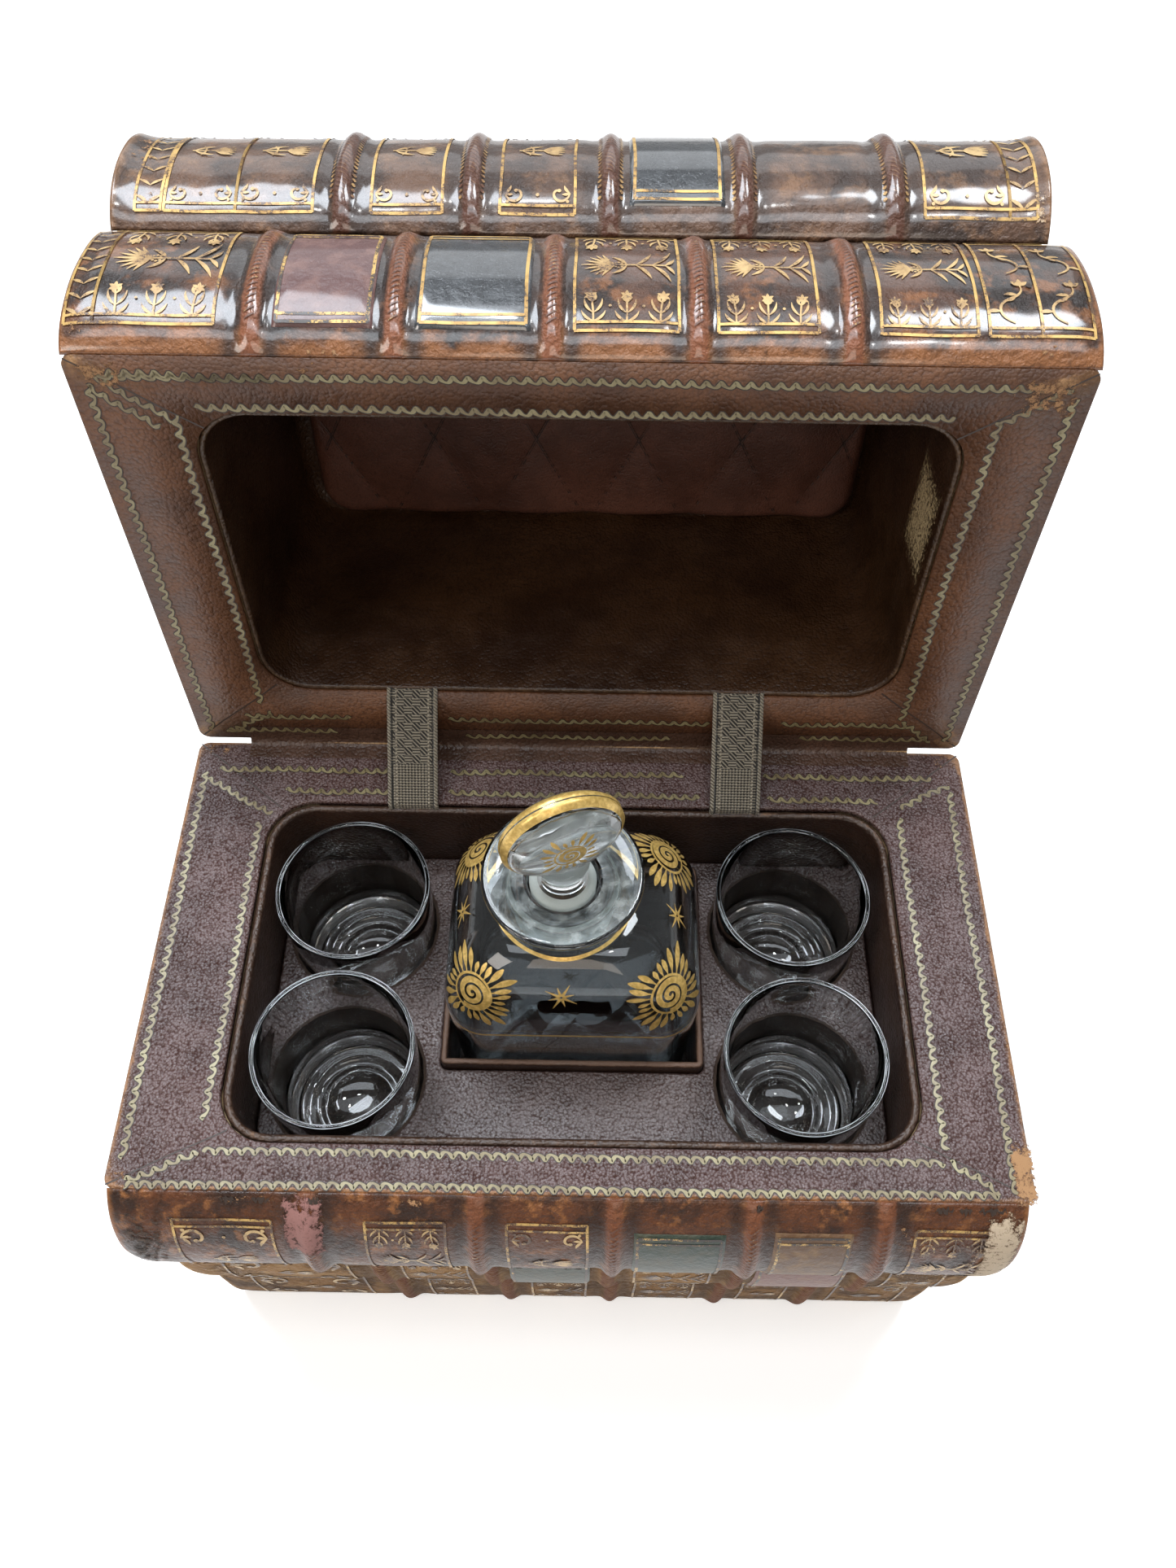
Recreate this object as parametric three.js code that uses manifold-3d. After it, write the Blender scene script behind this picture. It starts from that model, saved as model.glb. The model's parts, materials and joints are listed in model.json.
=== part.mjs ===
import * as THREE from 'three';
import { mergeVertices } from 'three/addons/utils/BufferGeometryUtils.js';
import Module from 'manifold-3d';

// A tantalus in the form of five leather-bound volumes lying in a stack. Three volumes are the
// base and hold a decanter and four tumblers, and two volumes are the lid. Millimetres.
// X runs along the spines, the spines face -Y, the hinge is at +Y, and Z = 0 is the underside.

const wasm = await Module();
wasm.setup();

// Clearances, and how far a cut runs past the face it opens
const fit = 0.3;
const overrun = 5;

// Bookbinding: boards, page blocks, raised bands, head caps, endbands and title labels
const board = 3;
const boardCorner = 4;
const edgeRound = 0.8;
const square = 3;
const foreEdgeHollow = 4;
const spineLeather = 2.2;
const bandFoot = 11;
const bandTop = 7.5;
const bandRise = 2.6;
const capDepth = 8;
const endbandWidth = 2.6;
const endbandDepth = 1.2;
const labelGlue = 0.5;
const labelLeather = 0.8;
const bellyShares = [0.16, 0.8];

// How finely curves are divided
const spineSteps = 9;
const innerSteps = 6;
const arcSteps = 4;
const roundSteps = 24;
const glassSteps = 28;
const cornerPoints = 7;

// Tumblers
const glassFoot = 26;
const glassMouth = 28.5;
const glassHeight = 72;
const glassWall = 1.5;
const glassBase = 8.5;
const glassHeel = 3;

// Stopper: a lens-shaped disc standing on a ground plug
const plugRadius = 11.5;
const plugTaper = 0.5;
const plugDepth = 12;
const plugPlay = 0.5;
const discRadius = 20.5;
const discThickness = 16.4;
const discRim = 3;
const discSink = 1.4;
const discGap = 5.1;
const discTurn = 20.4;
const lensShare = 0.74;

// Decanter: an oblong body with high domed shoulders and the neck set to one side
const neckOffset = [-3.5, 0.8];
const bodyLength = 91;
const bodyWidth = 73;
const bodyCorner = 15.5;
const bodyDraft = 1.6;
const bodyHeight = 68;
const shoulderHeight = 36;
const bodyWall = 4;
const bodyBase = 8;
const boreRadius = plugRadius + plugPlay;
const neckWall = 6.5;
const neckRadius = boreRadius + neckWall;
const neckHeight = 9;
const lipReach = 8.8;
const lipRadius = neckRadius + lipReach;
const lipThickness = 2.4;
const lipFlare = 4;
const dishReach = 7.5;
const dishRadius = boreRadius + dishReach;
const dishDepth = 4;
const lipTop = bodyHeight + shoulderHeight + neckHeight + lipFlare + lipThickness;

// Well of the base, measured down from the rim
const liningWall = 3;
const liningDrop = 1.5;
const trayFloorDepth = 38;
const trayFloor = 2.5;
const glassDrop = 5;
const seatDepth = glassHeight + glassDrop;
const trayBoard = 3;
const wellCorner = 18;

// Sockets: as wide as the tumbler is at the tray's floor, and a play
const socketPlay = 0.9;
const linerWall = 1;
const heelShare = (seatDepth - trayFloorDepth - glassHeel) / (glassHeight - glassHeel);
const socketRadius = glassFoot + (glassMouth - glassFoot) * heelShare + socketPlay;
const linerOutside = socketRadius + linerWall;

// Collar round the decanter, with its play along and across the case
const collarPlay = [0.4, 2.75];
const collarWall = 2.6;
const collarCorner = 3.2;
const collarTop = 33;
const collarLength = bodyLength + 2 * (collarPlay[0] + collarWall);
const collarWidth = bodyWidth + 2 * (collarPlay[1] + collarWall);

// Layout of the tray: the collar between two rows of sockets, with lands of leather between
const collarLand = 4.3;
const sideLand = 2.7;
const rowLand = 3.1;
const endLand = 1.55;
const toTray = liningWall + 2 * fit;
const glassReach = collarLength / 2 + collarLand + linerOutside;
const rowSpacing = 2 * linerOutside + rowLand;
const wellLength = 2 * (glassReach + linerOutside + sideLand + toTray);
const wellDepth = rowSpacing + 2 * (linerOutside + endLand + toTray);

// Base case: the rim's leather-covered frame round the well
const baseRimFront = 15.5;
const baseRimSide = 32.5;
const baseRimBack = 26.7;
const baseLength = wellLength + 2 * baseRimSide;
const baseDepth = wellDepth + baseRimFront + baseRimBack;

// The collar stands nearer to the well's back, and the decanter at its front. The sockets are a
// little to the left of the well's middle
const collarShift = -0.5;
const collarBackLand = 4.45;
const decanterForward = 2.4;
const socketShift = -1.2;

// Lid case, closed: its rim is a little smaller than the base's and starts at the hinge
const lidSideStep = 1;
const lidFrontStep = 2.4;
const hingeSetback = 1.5;
const rimGap = 1.2;
const lidRimFront = 18.5;
const lidRimSide = 31;
const lidRimBack = 27;
const lidOpenAngle = 96;
const lidLength = baseLength - 2 * lidSideStep;
const lidDepth = baseDepth - hingeSetback - lidFrontStep;

// Quilted pad in the lid, above the stopper of the closed case
const stopperRoom = 9.5;
const stopperTop = lipTop - seatDepth + discGap + 2 * discRadius;
const padFace = stopperTop + stopperRoom;
const ceiling = 3;
const hoodWall = 2;
const padSideGap = 4.2;
const padEndGap = 0.7;
const padLength = lidLength - 2 * (lidRimSide + fit + hoodWall + padSideGap);
const padWidth = lidDepth - lidRimFront - lidRimBack - 2 * (fit + hoodWall + padEndGap);
const padCorner = 14;
const padDepth = 9;
const padCrown = 2.4;
const padRoll = 5;
const padBacking = 5.4;
const padShift = 1.5;
const quiltStart = [20.5, 19];
const diamondLength = 41;
const diamondWidth = 82;

// Webbing straps and the leather hinge strip
const strapReach = 61.5;
const strapShift = -1.5;
const strapWidth = 19;
const strapThickness = 1.2;
const strapTuck = 1;
const hingeInset = 19.5;
const hingeLeather = 0.4;
const hingeLap = 7;
const hingeFold = 2;

// Thickness of the volumes: the topmost roofs over the lid's well
const volumeThickness = 57;
const roof = 9.7;
const lidWellTop = padFace + padDepth + ceiling + 2 * fit;
const topThickness = lidWellTop + roof - volumeThickness - fit;

// The five volumes, each a little different in length and place as in any stack of old books.
// Shorter is how much less long a volume is than its case's rim, shoulders are how far the lower
// and upper joints stand out from the case's front, belly is how far the spine does, lean is how
// much more it stands out at its right end, and cap is how far its ends are pulled out, or worn
// in. Raised bands and labels lie at shares of the volume's length, counted from its middle, and
// a label covers a share of the spine's curve.
const volumes = {
  base_bottom: {
    thickness: volumeThickness,
    shorter: 10, shift: 1, shoulders: [3, 3], belly: 5.5, lean: 0, cap: -1,
    bandShares: [-0.241, -0.093, 0.053, 0.207, 0.331],
    labels: [],
  },
  base_middle: {
    thickness: volumeThickness,
    shorter: 7, shift: 1.5, shoulders: [4, 4], belly: 10, lean: 0, cap: -1.2,
    bandShares: [-0.244, -0.104, 0.043, 0.206, 0.365],
    labels: [
      { name: 'green', alongShares: [-0.082, 0.02], curveShares: [0.2, 0.84] },
      { name: 'red', alongShares: [0.229, 0.343], curveShares: [0.2, 0.84] },
    ],
  },
  base_top: {
    thickness: volumeThickness,
    shorter: 4.5, shift: -0.5, shoulders: [6, 0], belly: 15.6, lean: 0, cap: -2,
    bandShares: [-0.284, -0.1, 0.051, 0.203, 0.347],
    labels: [
      { name: 'green', alongShares: [0.073, 0.174], curveShares: [0.2, 0.72] },
      { name: 'brown', alongShares: [0.227, 0.313], curveShares: [0.2, 0.74] },
    ],
  },
  lid_lower: {
    thickness: volumeThickness,
    shorter: 1, shift: 0, shoulders: [0, 6.5], belly: 12, lean: 0, cap: -1.5,
    bandShares: [-0.3165, -0.1795, -0.0283, 0.1128, 0.2616],
    labels: [
      { name: 'mauve', alongShares: [-0.2963, -0.1997], curveShares: [0.16, 0.82] },
      { name: 'black', alongShares: [-0.1593, -0.0485], curveShares: [0.16, 0.84] },
    ],
  },
  lid_upper: {
    thickness: topThickness,
    shorter: 8, shift: -1.5, shoulders: [6.5, 2], belly: 16.5, lean: 4, cap: 2,
    bandShares: [-0.2534, -0.1155, 0.0328, 0.1759, 0.3362],
    labels: [
      { name: 'black', alongShares: [0.0534, 0.1552], curveShares: [0.16, 0.84] },
    ],
  },
};

// Colours, roughness and metalness
const looks = {
  oxblood: { color: 0x3a211f, roughness: 0.5, metalness: 0 },
  bluishOxblood: { color: 0x4a3436, roughness: 0.55, metalness: 0 },
  umber: { color: 0x2e1a14, roughness: 0.35, metalness: 0 },
  chestnut: { color: 0x6b3018, roughness: 0.45, metalness: 0 },
  tanEdge: { color: 0x8a5a3c, roughness: 0.6, metalness: 0 },
  boardLeather: { color: 0x33201a, roughness: 0.55, metalness: 0 },
  pages: { color: 0xcdb98f, roughness: 0.85, metalness: 0 },
  silk: { color: 0x9a7b4f, roughness: 0.8, metalness: 0 },
  pasteboard: { color: 0x7d5f43, roughness: 0.9, metalness: 0 },
  quilt: { color: 0x47241f, roughness: 0.5, metalness: 0 },
  webbing: { color: 0x6d6a5a, roughness: 0.9, metalness: 0 },
  green: { color: 0x1d3a2c, roughness: 0.4, metalness: 0 },
  red: { color: 0x6e2418, roughness: 0.4, metalness: 0 },
  brown: { color: 0x4a2c1c, roughness: 0.4, metalness: 0 },
  mauve: { color: 0x6a4440, roughness: 0.4, metalness: 0 },
  black: { color: 0x16181d, roughness: 0.25, metalness: 0 },
  glass: { color: 0xe6eef2, roughness: 0.05, metalness: 0, transparent: true, opacity: 0.35 },
};

function toSolid(geometry) {
  const bare = geometry.clone();
  bare.deleteAttribute('normal');
  bare.deleteAttribute('uv');
  const merged = mergeVertices(bare);
  return new wasm.Manifold(new wasm.Mesh({
    numProp: 3,
    vertProperties: merged.attributes.position.array,
    triVerts: new Uint32Array(merged.index.array),
  }));
}

function toGeometry(solid) {
  const mesh = solid.getMesh();
  const geometry = new THREE.BufferGeometry();
  geometry.setAttribute('position', new THREE.BufferAttribute(mesh.vertProperties, 3));
  geometry.setIndex(new THREE.BufferAttribute(mesh.triVerts, 1));
  geometry.computeVertexNormals();
  return geometry;
}

function cut(geometry, ...cutters) {
  const rest = cutters.reduce((solid, cutter) => solid.subtract(toSolid(cutter)), toSolid(geometry));
  return toGeometry(rest);
}

function join(first, second) {
  return toGeometry(toSolid(first).add(toSolid(second)));
}

// A rectangle with rounded corners in the XY plane, as points that run anticlockwise
function rectanglePoints({ x: [left, right], y: [front, back], corner }) {
  const middles = [
    [right - corner, back - corner], [left + corner, back - corner],
    [left + corner, front + corner], [right - corner, front + corner],
  ];
  return middles.flatMap(([x, y], quarter) => arcPoints(x, y, corner, quarter, 1, arcSteps));
}

// Points of an arc that starts after some quarter turns and runs on for more of them
function arcPoints(x, y, radius, quarter, quarters, steps) {
  return Array.from({ length: steps + 1 }, (_, step) => {
    const angle = (quarter + quarters * step / steps) * Math.PI / 2;
    return new THREE.Vector2(x + radius * Math.cos(angle), y + radius * Math.sin(angle));
  });
}

// A rectangle grown by an amount on every side, its corners with it
function grown({ x, y, corner }, amount) {
  return {
    x: [x[0] - amount, x[1] + amount],
    y: [y[0] - amount, y[1] + amount],
    corner: corner + amount,
  };
}

function slab(outline, bottom, top, holes = [], round = 0) {
  const shape = new THREE.Shape(rectanglePoints(outline));
  for (const hole of holes) {
    const points = hole.radius
      ? arcPoints(hole.x, hole.y, hole.radius, 0, 4, roundSteps).slice(1)
      : rectanglePoints(hole);
    shape.holes.push(new THREE.Path(points));
  }
  const geometry = new THREE.ExtrudeGeometry(shape, {
    depth: top - bottom - 2 * round,
    bevelEnabled: round > 0,
    bevelThickness: round,
    bevelSize: round,
    bevelOffset: -round,
    bevelSegments: 1,
  });
  return geometry.translate(0, 0, bottom + round);
}

// A shape drawn in the YZ plane and drawn out along X
function alongX(points, from, to) {
  const geometry = new THREE.ExtrudeGeometry(new THREE.Shape(points), {
    depth: to - from,
    bevelEnabled: false,
  });
  const turn = new THREE.Matrix4().makeBasis(
    new THREE.Vector3(0, 1, 0),
    new THREE.Vector3(0, 0, 1),
    new THREE.Vector3(1, 0, 0),
  );
  return geometry.applyMatrix4(turn).translate(from, 0, 0);
}

// A profile of [radius, height] points turned about Z
function turned(profile, segments) {
  const points = profile.map(([radius, height]) => new THREE.Vector2(radius, height));
  return new THREE.LatheGeometry(points, segments).rotateX(Math.PI / 2);
}

// Rings of equally many points joined by a skin, with the first and last ring closed. The
// flatten function gives the two coordinates in which a closing ring is filled.
function loft(rings, flatten) {
  const count = rings[0].length;
  const positions = rings.flat().flatMap((point) => [point.x, point.y, point.z]);
  const faces = [];
  for (let ring = 0; ring < rings.length - 1; ring += 1) {
    for (let step = 0; step < count; step += 1) {
      const next = (step + 1) % count;
      const [a, b] = [ring * count + step, ring * count + next];
      faces.push([a, b, b + count], [a, b + count, a + count]);
    }
  }
  const outward = THREE.ShapeUtils.isClockWise(rings[0].map(flatten));
  const last = (rings.length - 1) * count;
  for (const [ring, offset, reverse] of [[rings[0], 0, true], [rings.at(-1), last, false]]) {
    for (const face of THREE.ShapeUtils.triangulateShape(ring.map(flatten), [])) {
      const [a, b, c] = face.map((index) => index + offset);
      faces.push(reverse === outward ? [a, b, c] : [a, c, b]);
    }
  }
  const geometry = new THREE.BufferGeometry();
  geometry.setAttribute('position', new THREE.Float32BufferAttribute(positions, 3));
  geometry.setIndex(faces.flat());
  return facingOut(geometry);
}

// Turns every face round when the skin encloses its space from the wrong side
function facingOut(geometry) {
  const position = geometry.attributes.position;
  const index = geometry.index.array;
  const corner = (place) => new THREE.Vector3().fromBufferAttribute(position, index[place]);
  let sum = 0;
  for (let place = 0; place < index.length; place += 3) {
    sum += corner(place).dot(corner(place + 1).cross(corner(place + 2)));
  }
  if (sum < 0) index.reverse();
  geometry.computeVertexNormals();
  return geometry;
}

// A band of even thickness along a line of points in the YZ plane
function ribbon(points, thickness) {
  const sides = points.map((point, place) => {
    const before = points[Math.max(place - 1, 0)];
    const after = points[Math.min(place + 1, points.length - 1)];
    const along = new THREE.Vector2().subVectors(after, before).normalize();
    const across = new THREE.Vector2(-along.y, along.x).multiplyScalar(thickness / 2);
    return [point.clone().add(across), point.clone().sub(across)];
  });
  return [...sides.map(([left]) => left), ...sides.map(([, right]) => right).reverse()];
}

function piece(parent, name, geometry, look) {
  const mesh = new THREE.Mesh(geometry, new THREE.MeshStandardMaterial(looks[look]));
  mesh.name = name;
  parent.add(mesh);
  return mesh;
}

// The curve of a spine in the YZ plane, from its lower joint to its upper one. Rise is how far it
// stands proud of the belly, and inset how far its ends are drawn in from the volume's faces.
function spineCurve(volume, place, rise, inset) {
  const [low, high] = volume.shoulders;
  const { thickness } = volume;
  const reach = (volume.belly + rise - (low + high) / 8) * 4 / 3;
  const [lowShare, highShare] = bellyShares;
  const inner = thickness - 2 * inset;
  return new THREE.CubicBezierCurve(
    new THREE.Vector2(place.front - low, inset),
    new THREE.Vector2(place.front - reach, inset + inner * lowShare),
    new THREE.Vector2(place.front - reach, inset + inner * highShare),
    new THREE.Vector2(place.front - high, thickness - inset),
  );
}

function ringAt(x, points) {
  return points.map((point) => new THREE.Vector3(x, point.x, point.y));
}

// Leather spine, a shell round the back of the page block with raised bands
function spine(volume, place) {
  const end = volume.length / 2;
  const inside = spineCurve(volume, place, -spineLeather, spineLeather).getPoints(innerSteps);
  const stations = [[-end, volume.cap], [-end + capDepth / 2, volume.cap / 3], [-end + capDepth, 0]];
  for (const band of volume.bandShares.map((share) => share * volume.length)) {
    stations.push([band - bandFoot / 2, 0], [band - bandTop / 2, bandRise]);
    stations.push([band + bandTop / 2, bandRise], [band + bandFoot / 2, 0]);
  }
  stations.push([end - capDepth, 0], [end - capDepth / 2, volume.cap / 3], [end, volume.cap]);
  const rings = stations.map(([x, rise]) => {
    const outside = spineCurve(volume, place, rise + leanAt(volume, x), 0).getPoints(spineSteps);
    return ringAt(x, [...outside, ...[...inside].reverse()]);
  });
  return loft(rings, (point) => new THREE.Vector2(point.y, point.z));
}

function leanAt(volume, x) {
  return volume.lean * (x / volume.length + 1 / 2);
}

// Block of pages: rounded at the spine, hollow at the fore-edge
function pageBlock(volume, place) {
  const end = volume.length / 2 - square;
  const bottom = board + place.seat;
  const top = volume.thickness - bottom;
  const back = spineCurve(volume, place, -spineLeather - fit, bottom).getPoints(innerSteps);
  const foreEdge = place.back - square;
  const hollow = new THREE.QuadraticBezierCurve(
    new THREE.Vector2(foreEdge, top),
    new THREE.Vector2(foreEdge - 2 * foreEdgeHollow, (bottom + top) / 2),
    new THREE.Vector2(foreEdge, bottom),
  );
  return alongX([...back, ...hollow.getPoints(innerSteps)], -end, end);
}

// Sewn silk roll at the head or the tail of a page block, behind the head cap
function endband(volume, place, side) {
  const inner = volume.length / 2 - square + place.seat;
  const rise = -spineLeather - fit;
  const outside = spineCurve(volume, place, rise, 2 * board).getPoints(innerSteps);
  const inside = outside.map((point) => new THREE.Vector2(point.x + endbandWidth, point.y));
  const geometry = alongX([...outside, ...inside.reverse()], inner, inner + endbandDepth);
  return side === 'right' ? geometry : geometry.translate(-2 * inner - endbandDepth, 0, 0);
}

// Title label: a thin piece of leather on the spine between two raised bands
function titleLabel(volume, place, label) {
  const [low, high] = label.curveShares;
  const strip = (rise) => {
    const curve = spineCurve(volume, place, rise, 0);
    const steps = Array.from({ length: innerSteps + 1 }, (_, step) => step / innerSteps);
    return steps.map((step) => curve.getPoint(low + (high - low) * step));
  };
  const rings = label.alongShares.map((share) => {
    const x = share * volume.length;
    const rise = labelGlue + leanAt(volume, x);
    return ringAt(x, [...strip(rise + labelLeather), ...strip(rise).reverse()]);
  });
  return loft(rings, (point) => new THREE.Vector2(point.y, point.z));
}

function boardOutline(length, place, shoulder) {
  return {
    x: [-length / 2, length / 2], y: [place.front - shoulder, place.back], corner: boardCorner,
  };
}

// One volume. Its wells are cut through what lies in their reach, counted from its underside.
function addVolume(parent, name, height, place, { boards, leather, wells }) {
  const length = place.length - volumes[name].shorter;
  const volume = { ...volumes[name], length };
  const { thickness, shift } = volume;
  const group = new THREE.Group();
  group.position.set(shift, 0, height);
  parent.add(group);
  const cutters = wells.map(({ outline, from, to }) => slab(outline, from, to).translate(-shift, 0, 0));
  const open = (geometry) => (cutters.length ? cut(geometry, ...cutters) : geometry);
  const [low, high] = volume.shoulders;
  if (boards.includes('lower')) {
    const lower = slab(boardOutline(length, place, low), 0, board, [], edgeRound);
    piece(group, `${name}_lower_board`, open(lower), 'boardLeather');
  }
  if (boards.includes('upper')) {
    const outline = boardOutline(length, place, high);
    const upper = slab(outline, thickness - board, thickness, [], edgeRound);
    piece(group, `${name}_upper_board`, open(upper), 'boardLeather');
  }
  piece(group, `${name}_block`, open(pageBlock(volume, place)), 'pages');
  piece(group, `${name}_spine`, spine(volume, place), leather);
  for (const side of ['left', 'right']) {
    piece(group, `${name}_endband_${side}`, endband(volume, place, side), 'silk');
  }
  for (const label of volume.labels) {
    piece(group, `${name}_label_${label.name}`, titleLabel(volume, place, label), label.name);
  }
}

const tantalus = new THREE.Group();

// Base: three volumes under a leather rim
const base = new THREE.Group();
tantalus.add(base);

const baseStack = ['base_bottom', 'base_middle', 'base_top'];
const rimHeight = baseStack.reduce((sum, name) => sum + volumes[name].thickness, 0);
const basePlace = { length: baseLength, front: -baseDepth / 2, back: baseDepth / 2, seat: 0 };
const baseWell = {
  x: [-wellLength / 2, wellLength / 2],
  y: [basePlace.front + baseRimFront, basePlace.back - baseRimBack],
  corner: wellCorner,
};
const wellFloor = rimHeight - seatDepth - trayBoard;
const middleHeight = volumes.base_bottom.thickness;
const topHeight = middleHeight + volumes.base_middle.thickness;

function baseWells(height, thickness) {
  return [{ outline: baseWell, from: Math.max(wellFloor - height, -overrun), to: thickness + overrun }];
}

addVolume(base, 'base_bottom', 0, basePlace, {
  boards: ['lower', 'upper'], leather: 'chestnut', wells: [],
});
addVolume(base, 'base_middle', middleHeight, basePlace, {
  boards: ['lower', 'upper'],
  leather: 'chestnut',
  wells: baseWells(middleHeight, volumes.base_middle.thickness),
});
addVolume(base, 'base_top', topHeight, basePlace, {
  boards: ['lower'],
  leather: 'chestnut',
  wells: baseWells(topHeight, volumes.base_top.thickness),
});

const baseRimOutline = boardOutline(baseLength, basePlace, 0);
const baseRim = slab(baseRimOutline, rimHeight - board, rimHeight, [baseWell], edgeRound);
piece(base, 'base_rim', baseRim, 'bluishOxblood');

// Well of the base: lining, floor and bottom board of the tray, socket liners and collar
const liningOutside = grown(baseWell, -fit);
const liningInside = grown(liningOutside, -liningWall);
const liningTop = rimHeight - liningDrop;
piece(base, 'base_lining', slab(liningOutside, wellFloor, liningTop, [liningInside]), 'umber');

const trayOutline = grown(liningInside, -fit);
const seat = rimHeight - seatDepth;
piece(base, 'tray_board', slab(trayOutline, wellFloor, seat), 'umber');

const rowMiddle = (baseWell.y[0] + baseWell.y[1]) / 2;
const glassRows = [rowMiddle + rowSpacing / 2, rowMiddle - rowSpacing / 2];
const glassColumns = [socketShift - glassReach, socketShift + glassReach];
const glassPlaces = glassColumns.flatMap((x) => glassRows.map((y) => ({ x, y })));
const collarBack = baseWell.y[1] - toTray - collarBackLand;
const collarOutside = {
  x: [collarShift - collarLength / 2, collarShift + collarLength / 2],
  y: [collarBack - collarWidth, collarBack],
  corner: collarCorner,
};
const trayTop = rimHeight - trayFloorDepth;
const trayHoles = glassPlaces.map((place) => ({ ...place, radius: linerOutside + fit }));
trayHoles.push(grown(collarOutside, fit));
const trayPlate = slab(trayOutline, trayTop - trayFloor, trayTop, trayHoles);
piece(base, 'tray_floor', trayPlate, 'bluishOxblood');

glassPlaces.forEach((place, number) => {
  const length = trayTop - seat;
  const liner = turned([
    [socketRadius, 0], [linerOutside, 0], [linerOutside, length], [socketRadius, length],
    [socketRadius, 0],
  ], roundSteps);
  const mesh = piece(base, `socket_liner_${number + 1}`, liner, 'pasteboard');
  mesh.position.set(place.x, place.y, seat);
});

const collarInside = grown(collarOutside, -collarWall);
const collar = slab(collarOutside, seat, rimHeight - collarTop, [collarInside], edgeRound);
piece(base, 'decanter_collar', collar, 'tanEdge');

// Lid: two volumes drawn closed, with the hinge line as origin, in a group that stands open
const lid = new THREE.Group();
const hingeHeight = rimHeight + rimGap / 2;
lid.position.set(0, basePlace.back, hingeHeight);
lid.rotation.x = -THREE.MathUtils.degToRad(lidOpenAngle);
tantalus.add(lid);

const lidFace = rimGap / 2;
const lidPlace = {
  length: lidLength, front: -hingeSetback - lidDepth, back: -hingeSetback, seat: fit,
};
const lidWell = {
  x: [-lidLength / 2 + lidRimSide, lidLength / 2 - lidRimSide],
  y: [lidPlace.front + lidRimFront, lidPlace.back - lidRimBack],
  corner: wellCorner,
};
const ceilingFace = padFace + padDepth + fit;
const upperHeight = volumes.lid_lower.thickness + fit;

addVolume(lid, 'lid_lower', lidFace, lidPlace, {
  boards: ['upper'],
  leather: 'umber',
  wells: [{ outline: lidWell, from: -overrun, to: volumes.lid_lower.thickness + overrun }],
});
addVolume(lid, 'lid_upper', lidFace + upperHeight, lidPlace, {
  boards: ['lower', 'upper'],
  leather: 'umber',
  wells: [{ outline: lidWell, from: -overrun, to: lidWellTop - upperHeight }],
});

const lidRimOutline = boardOutline(lidLength, lidPlace, 0);
const lidRim = slab(lidRimOutline, lidFace, lidFace + board, [lidWell], edgeRound);
piece(lid, 'lid_rim', lidRim, 'oxblood');

const hoodOutside = grown(lidWell, -fit);
const hoodInside = grown(hoodOutside, -hoodWall);
const hoodMouth = lidFace + liningDrop;
const hood = cut(
  slab(hoodOutside, hoodMouth, lidFace + ceilingFace + ceiling),
  slab(hoodInside, hoodMouth - overrun, lidFace + ceilingFace),
);
piece(lid, 'lid_lining', hood, 'umber');

// Quilted pad: puffed diamonds with sewn channels between them, on a flat backing. It is drawn as
// a skew grid along the channels and trimmed to its rounded outline.
function quiltedPad() {
  const cells = 5;
  const count = Math.ceil(padLength / diamondLength + padWidth / diamondWidth) + 2;
  const half = Math.ceil(count / 2) * cells;
  const outline = {
    x: [-padLength / 2, padLength / 2], y: [-padWidth / 2, padWidth / 2], corner: padCorner,
  };
  const thick = (x, y, u, v) => {
    const puff = Math.sqrt(Math.abs(Math.sin(Math.PI * u) * Math.sin(Math.PI * v)));
    const toEdge = Math.min(padLength / 2 - Math.abs(x), padWidth / 2 - Math.abs(y));
    const roll = Math.sqrt(THREE.MathUtils.clamp(toEdge / padRoll, 0, 1));
    return padBacking + (padDepth - padBacking - padCrown) * roll + padCrown * puff * roll;
  };
  const rows = [];
  for (let i = -half; i <= half; i += 1) {
    const row = [];
    for (let j = -half; j <= half; j += 1) {
      const [u, v] = [i / cells, j / cells];
      const x = quiltStart[0] + (u + v) * diamondLength / 2;
      const y = quiltStart[1] + (u - v) * diamondWidth / 2;
      row.push(new THREE.Vector3(x, y, -thick(x, y, u, v)));
    }
    rows.push(row);
  }
  const side = rows.length;
  const points = rows.flat();
  const faces = [];
  for (let i = 0; i < side - 1; i += 1) {
    for (let j = 0; j < side - 1; j += 1) {
      const a = i * side + j;
      faces.push([a, a + 1, a + side + 1], [a, a + side + 1, a + side]);
    }
  }
  const border = [];
  for (let k = 0; k < side - 1; k += 1) border.push(k);
  for (let k = 0; k < side - 1; k += 1) border.push(k * side + side - 1);
  for (let k = side - 1; k > 0; k -= 1) border.push((side - 1) * side + k);
  for (let k = side - 1; k > 0; k -= 1) border.push(k * side);
  const lower = border.map((index) => new THREE.Vector3(points[index].x, points[index].y, overrun));
  const first = points.length;
  border.forEach((index, k) => {
    const next = (k + 1) % border.length;
    faces.push([border[next], index, first + k], [border[next], first + k, first + next]);
    faces.push([first + next, first + k, first + border.length]);
  });
  const all = [...points, ...lower, new THREE.Vector3(0, 0, overrun)];
  const skin = new THREE.BufferGeometry();
  skin.setAttribute('position', new THREE.Float32BufferAttribute(all.flatMap((p) => p.toArray()), 3));
  skin.setIndex(faces.flat());
  const trimmed = toSolid(facingOut(skin)).intersect(toSolid(slab(outline, -padDepth - overrun, 0)));
  return toGeometry(trimmed);
}

const pad = piece(lid, 'lid_pad', quiltedPad(), 'quilt');
pad.position.set(padShift, (lidWell.y[0] + lidWell.y[1]) / 2, lidFace + padFace + padDepth);

// Hinge strip and straps, drawn as they lie with the lid open
const hingeLine = new THREE.Vector2(basePlace.back, hingeHeight);
const openTurn = THREE.MathUtils.degToRad(-lidOpenAngle);

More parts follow.
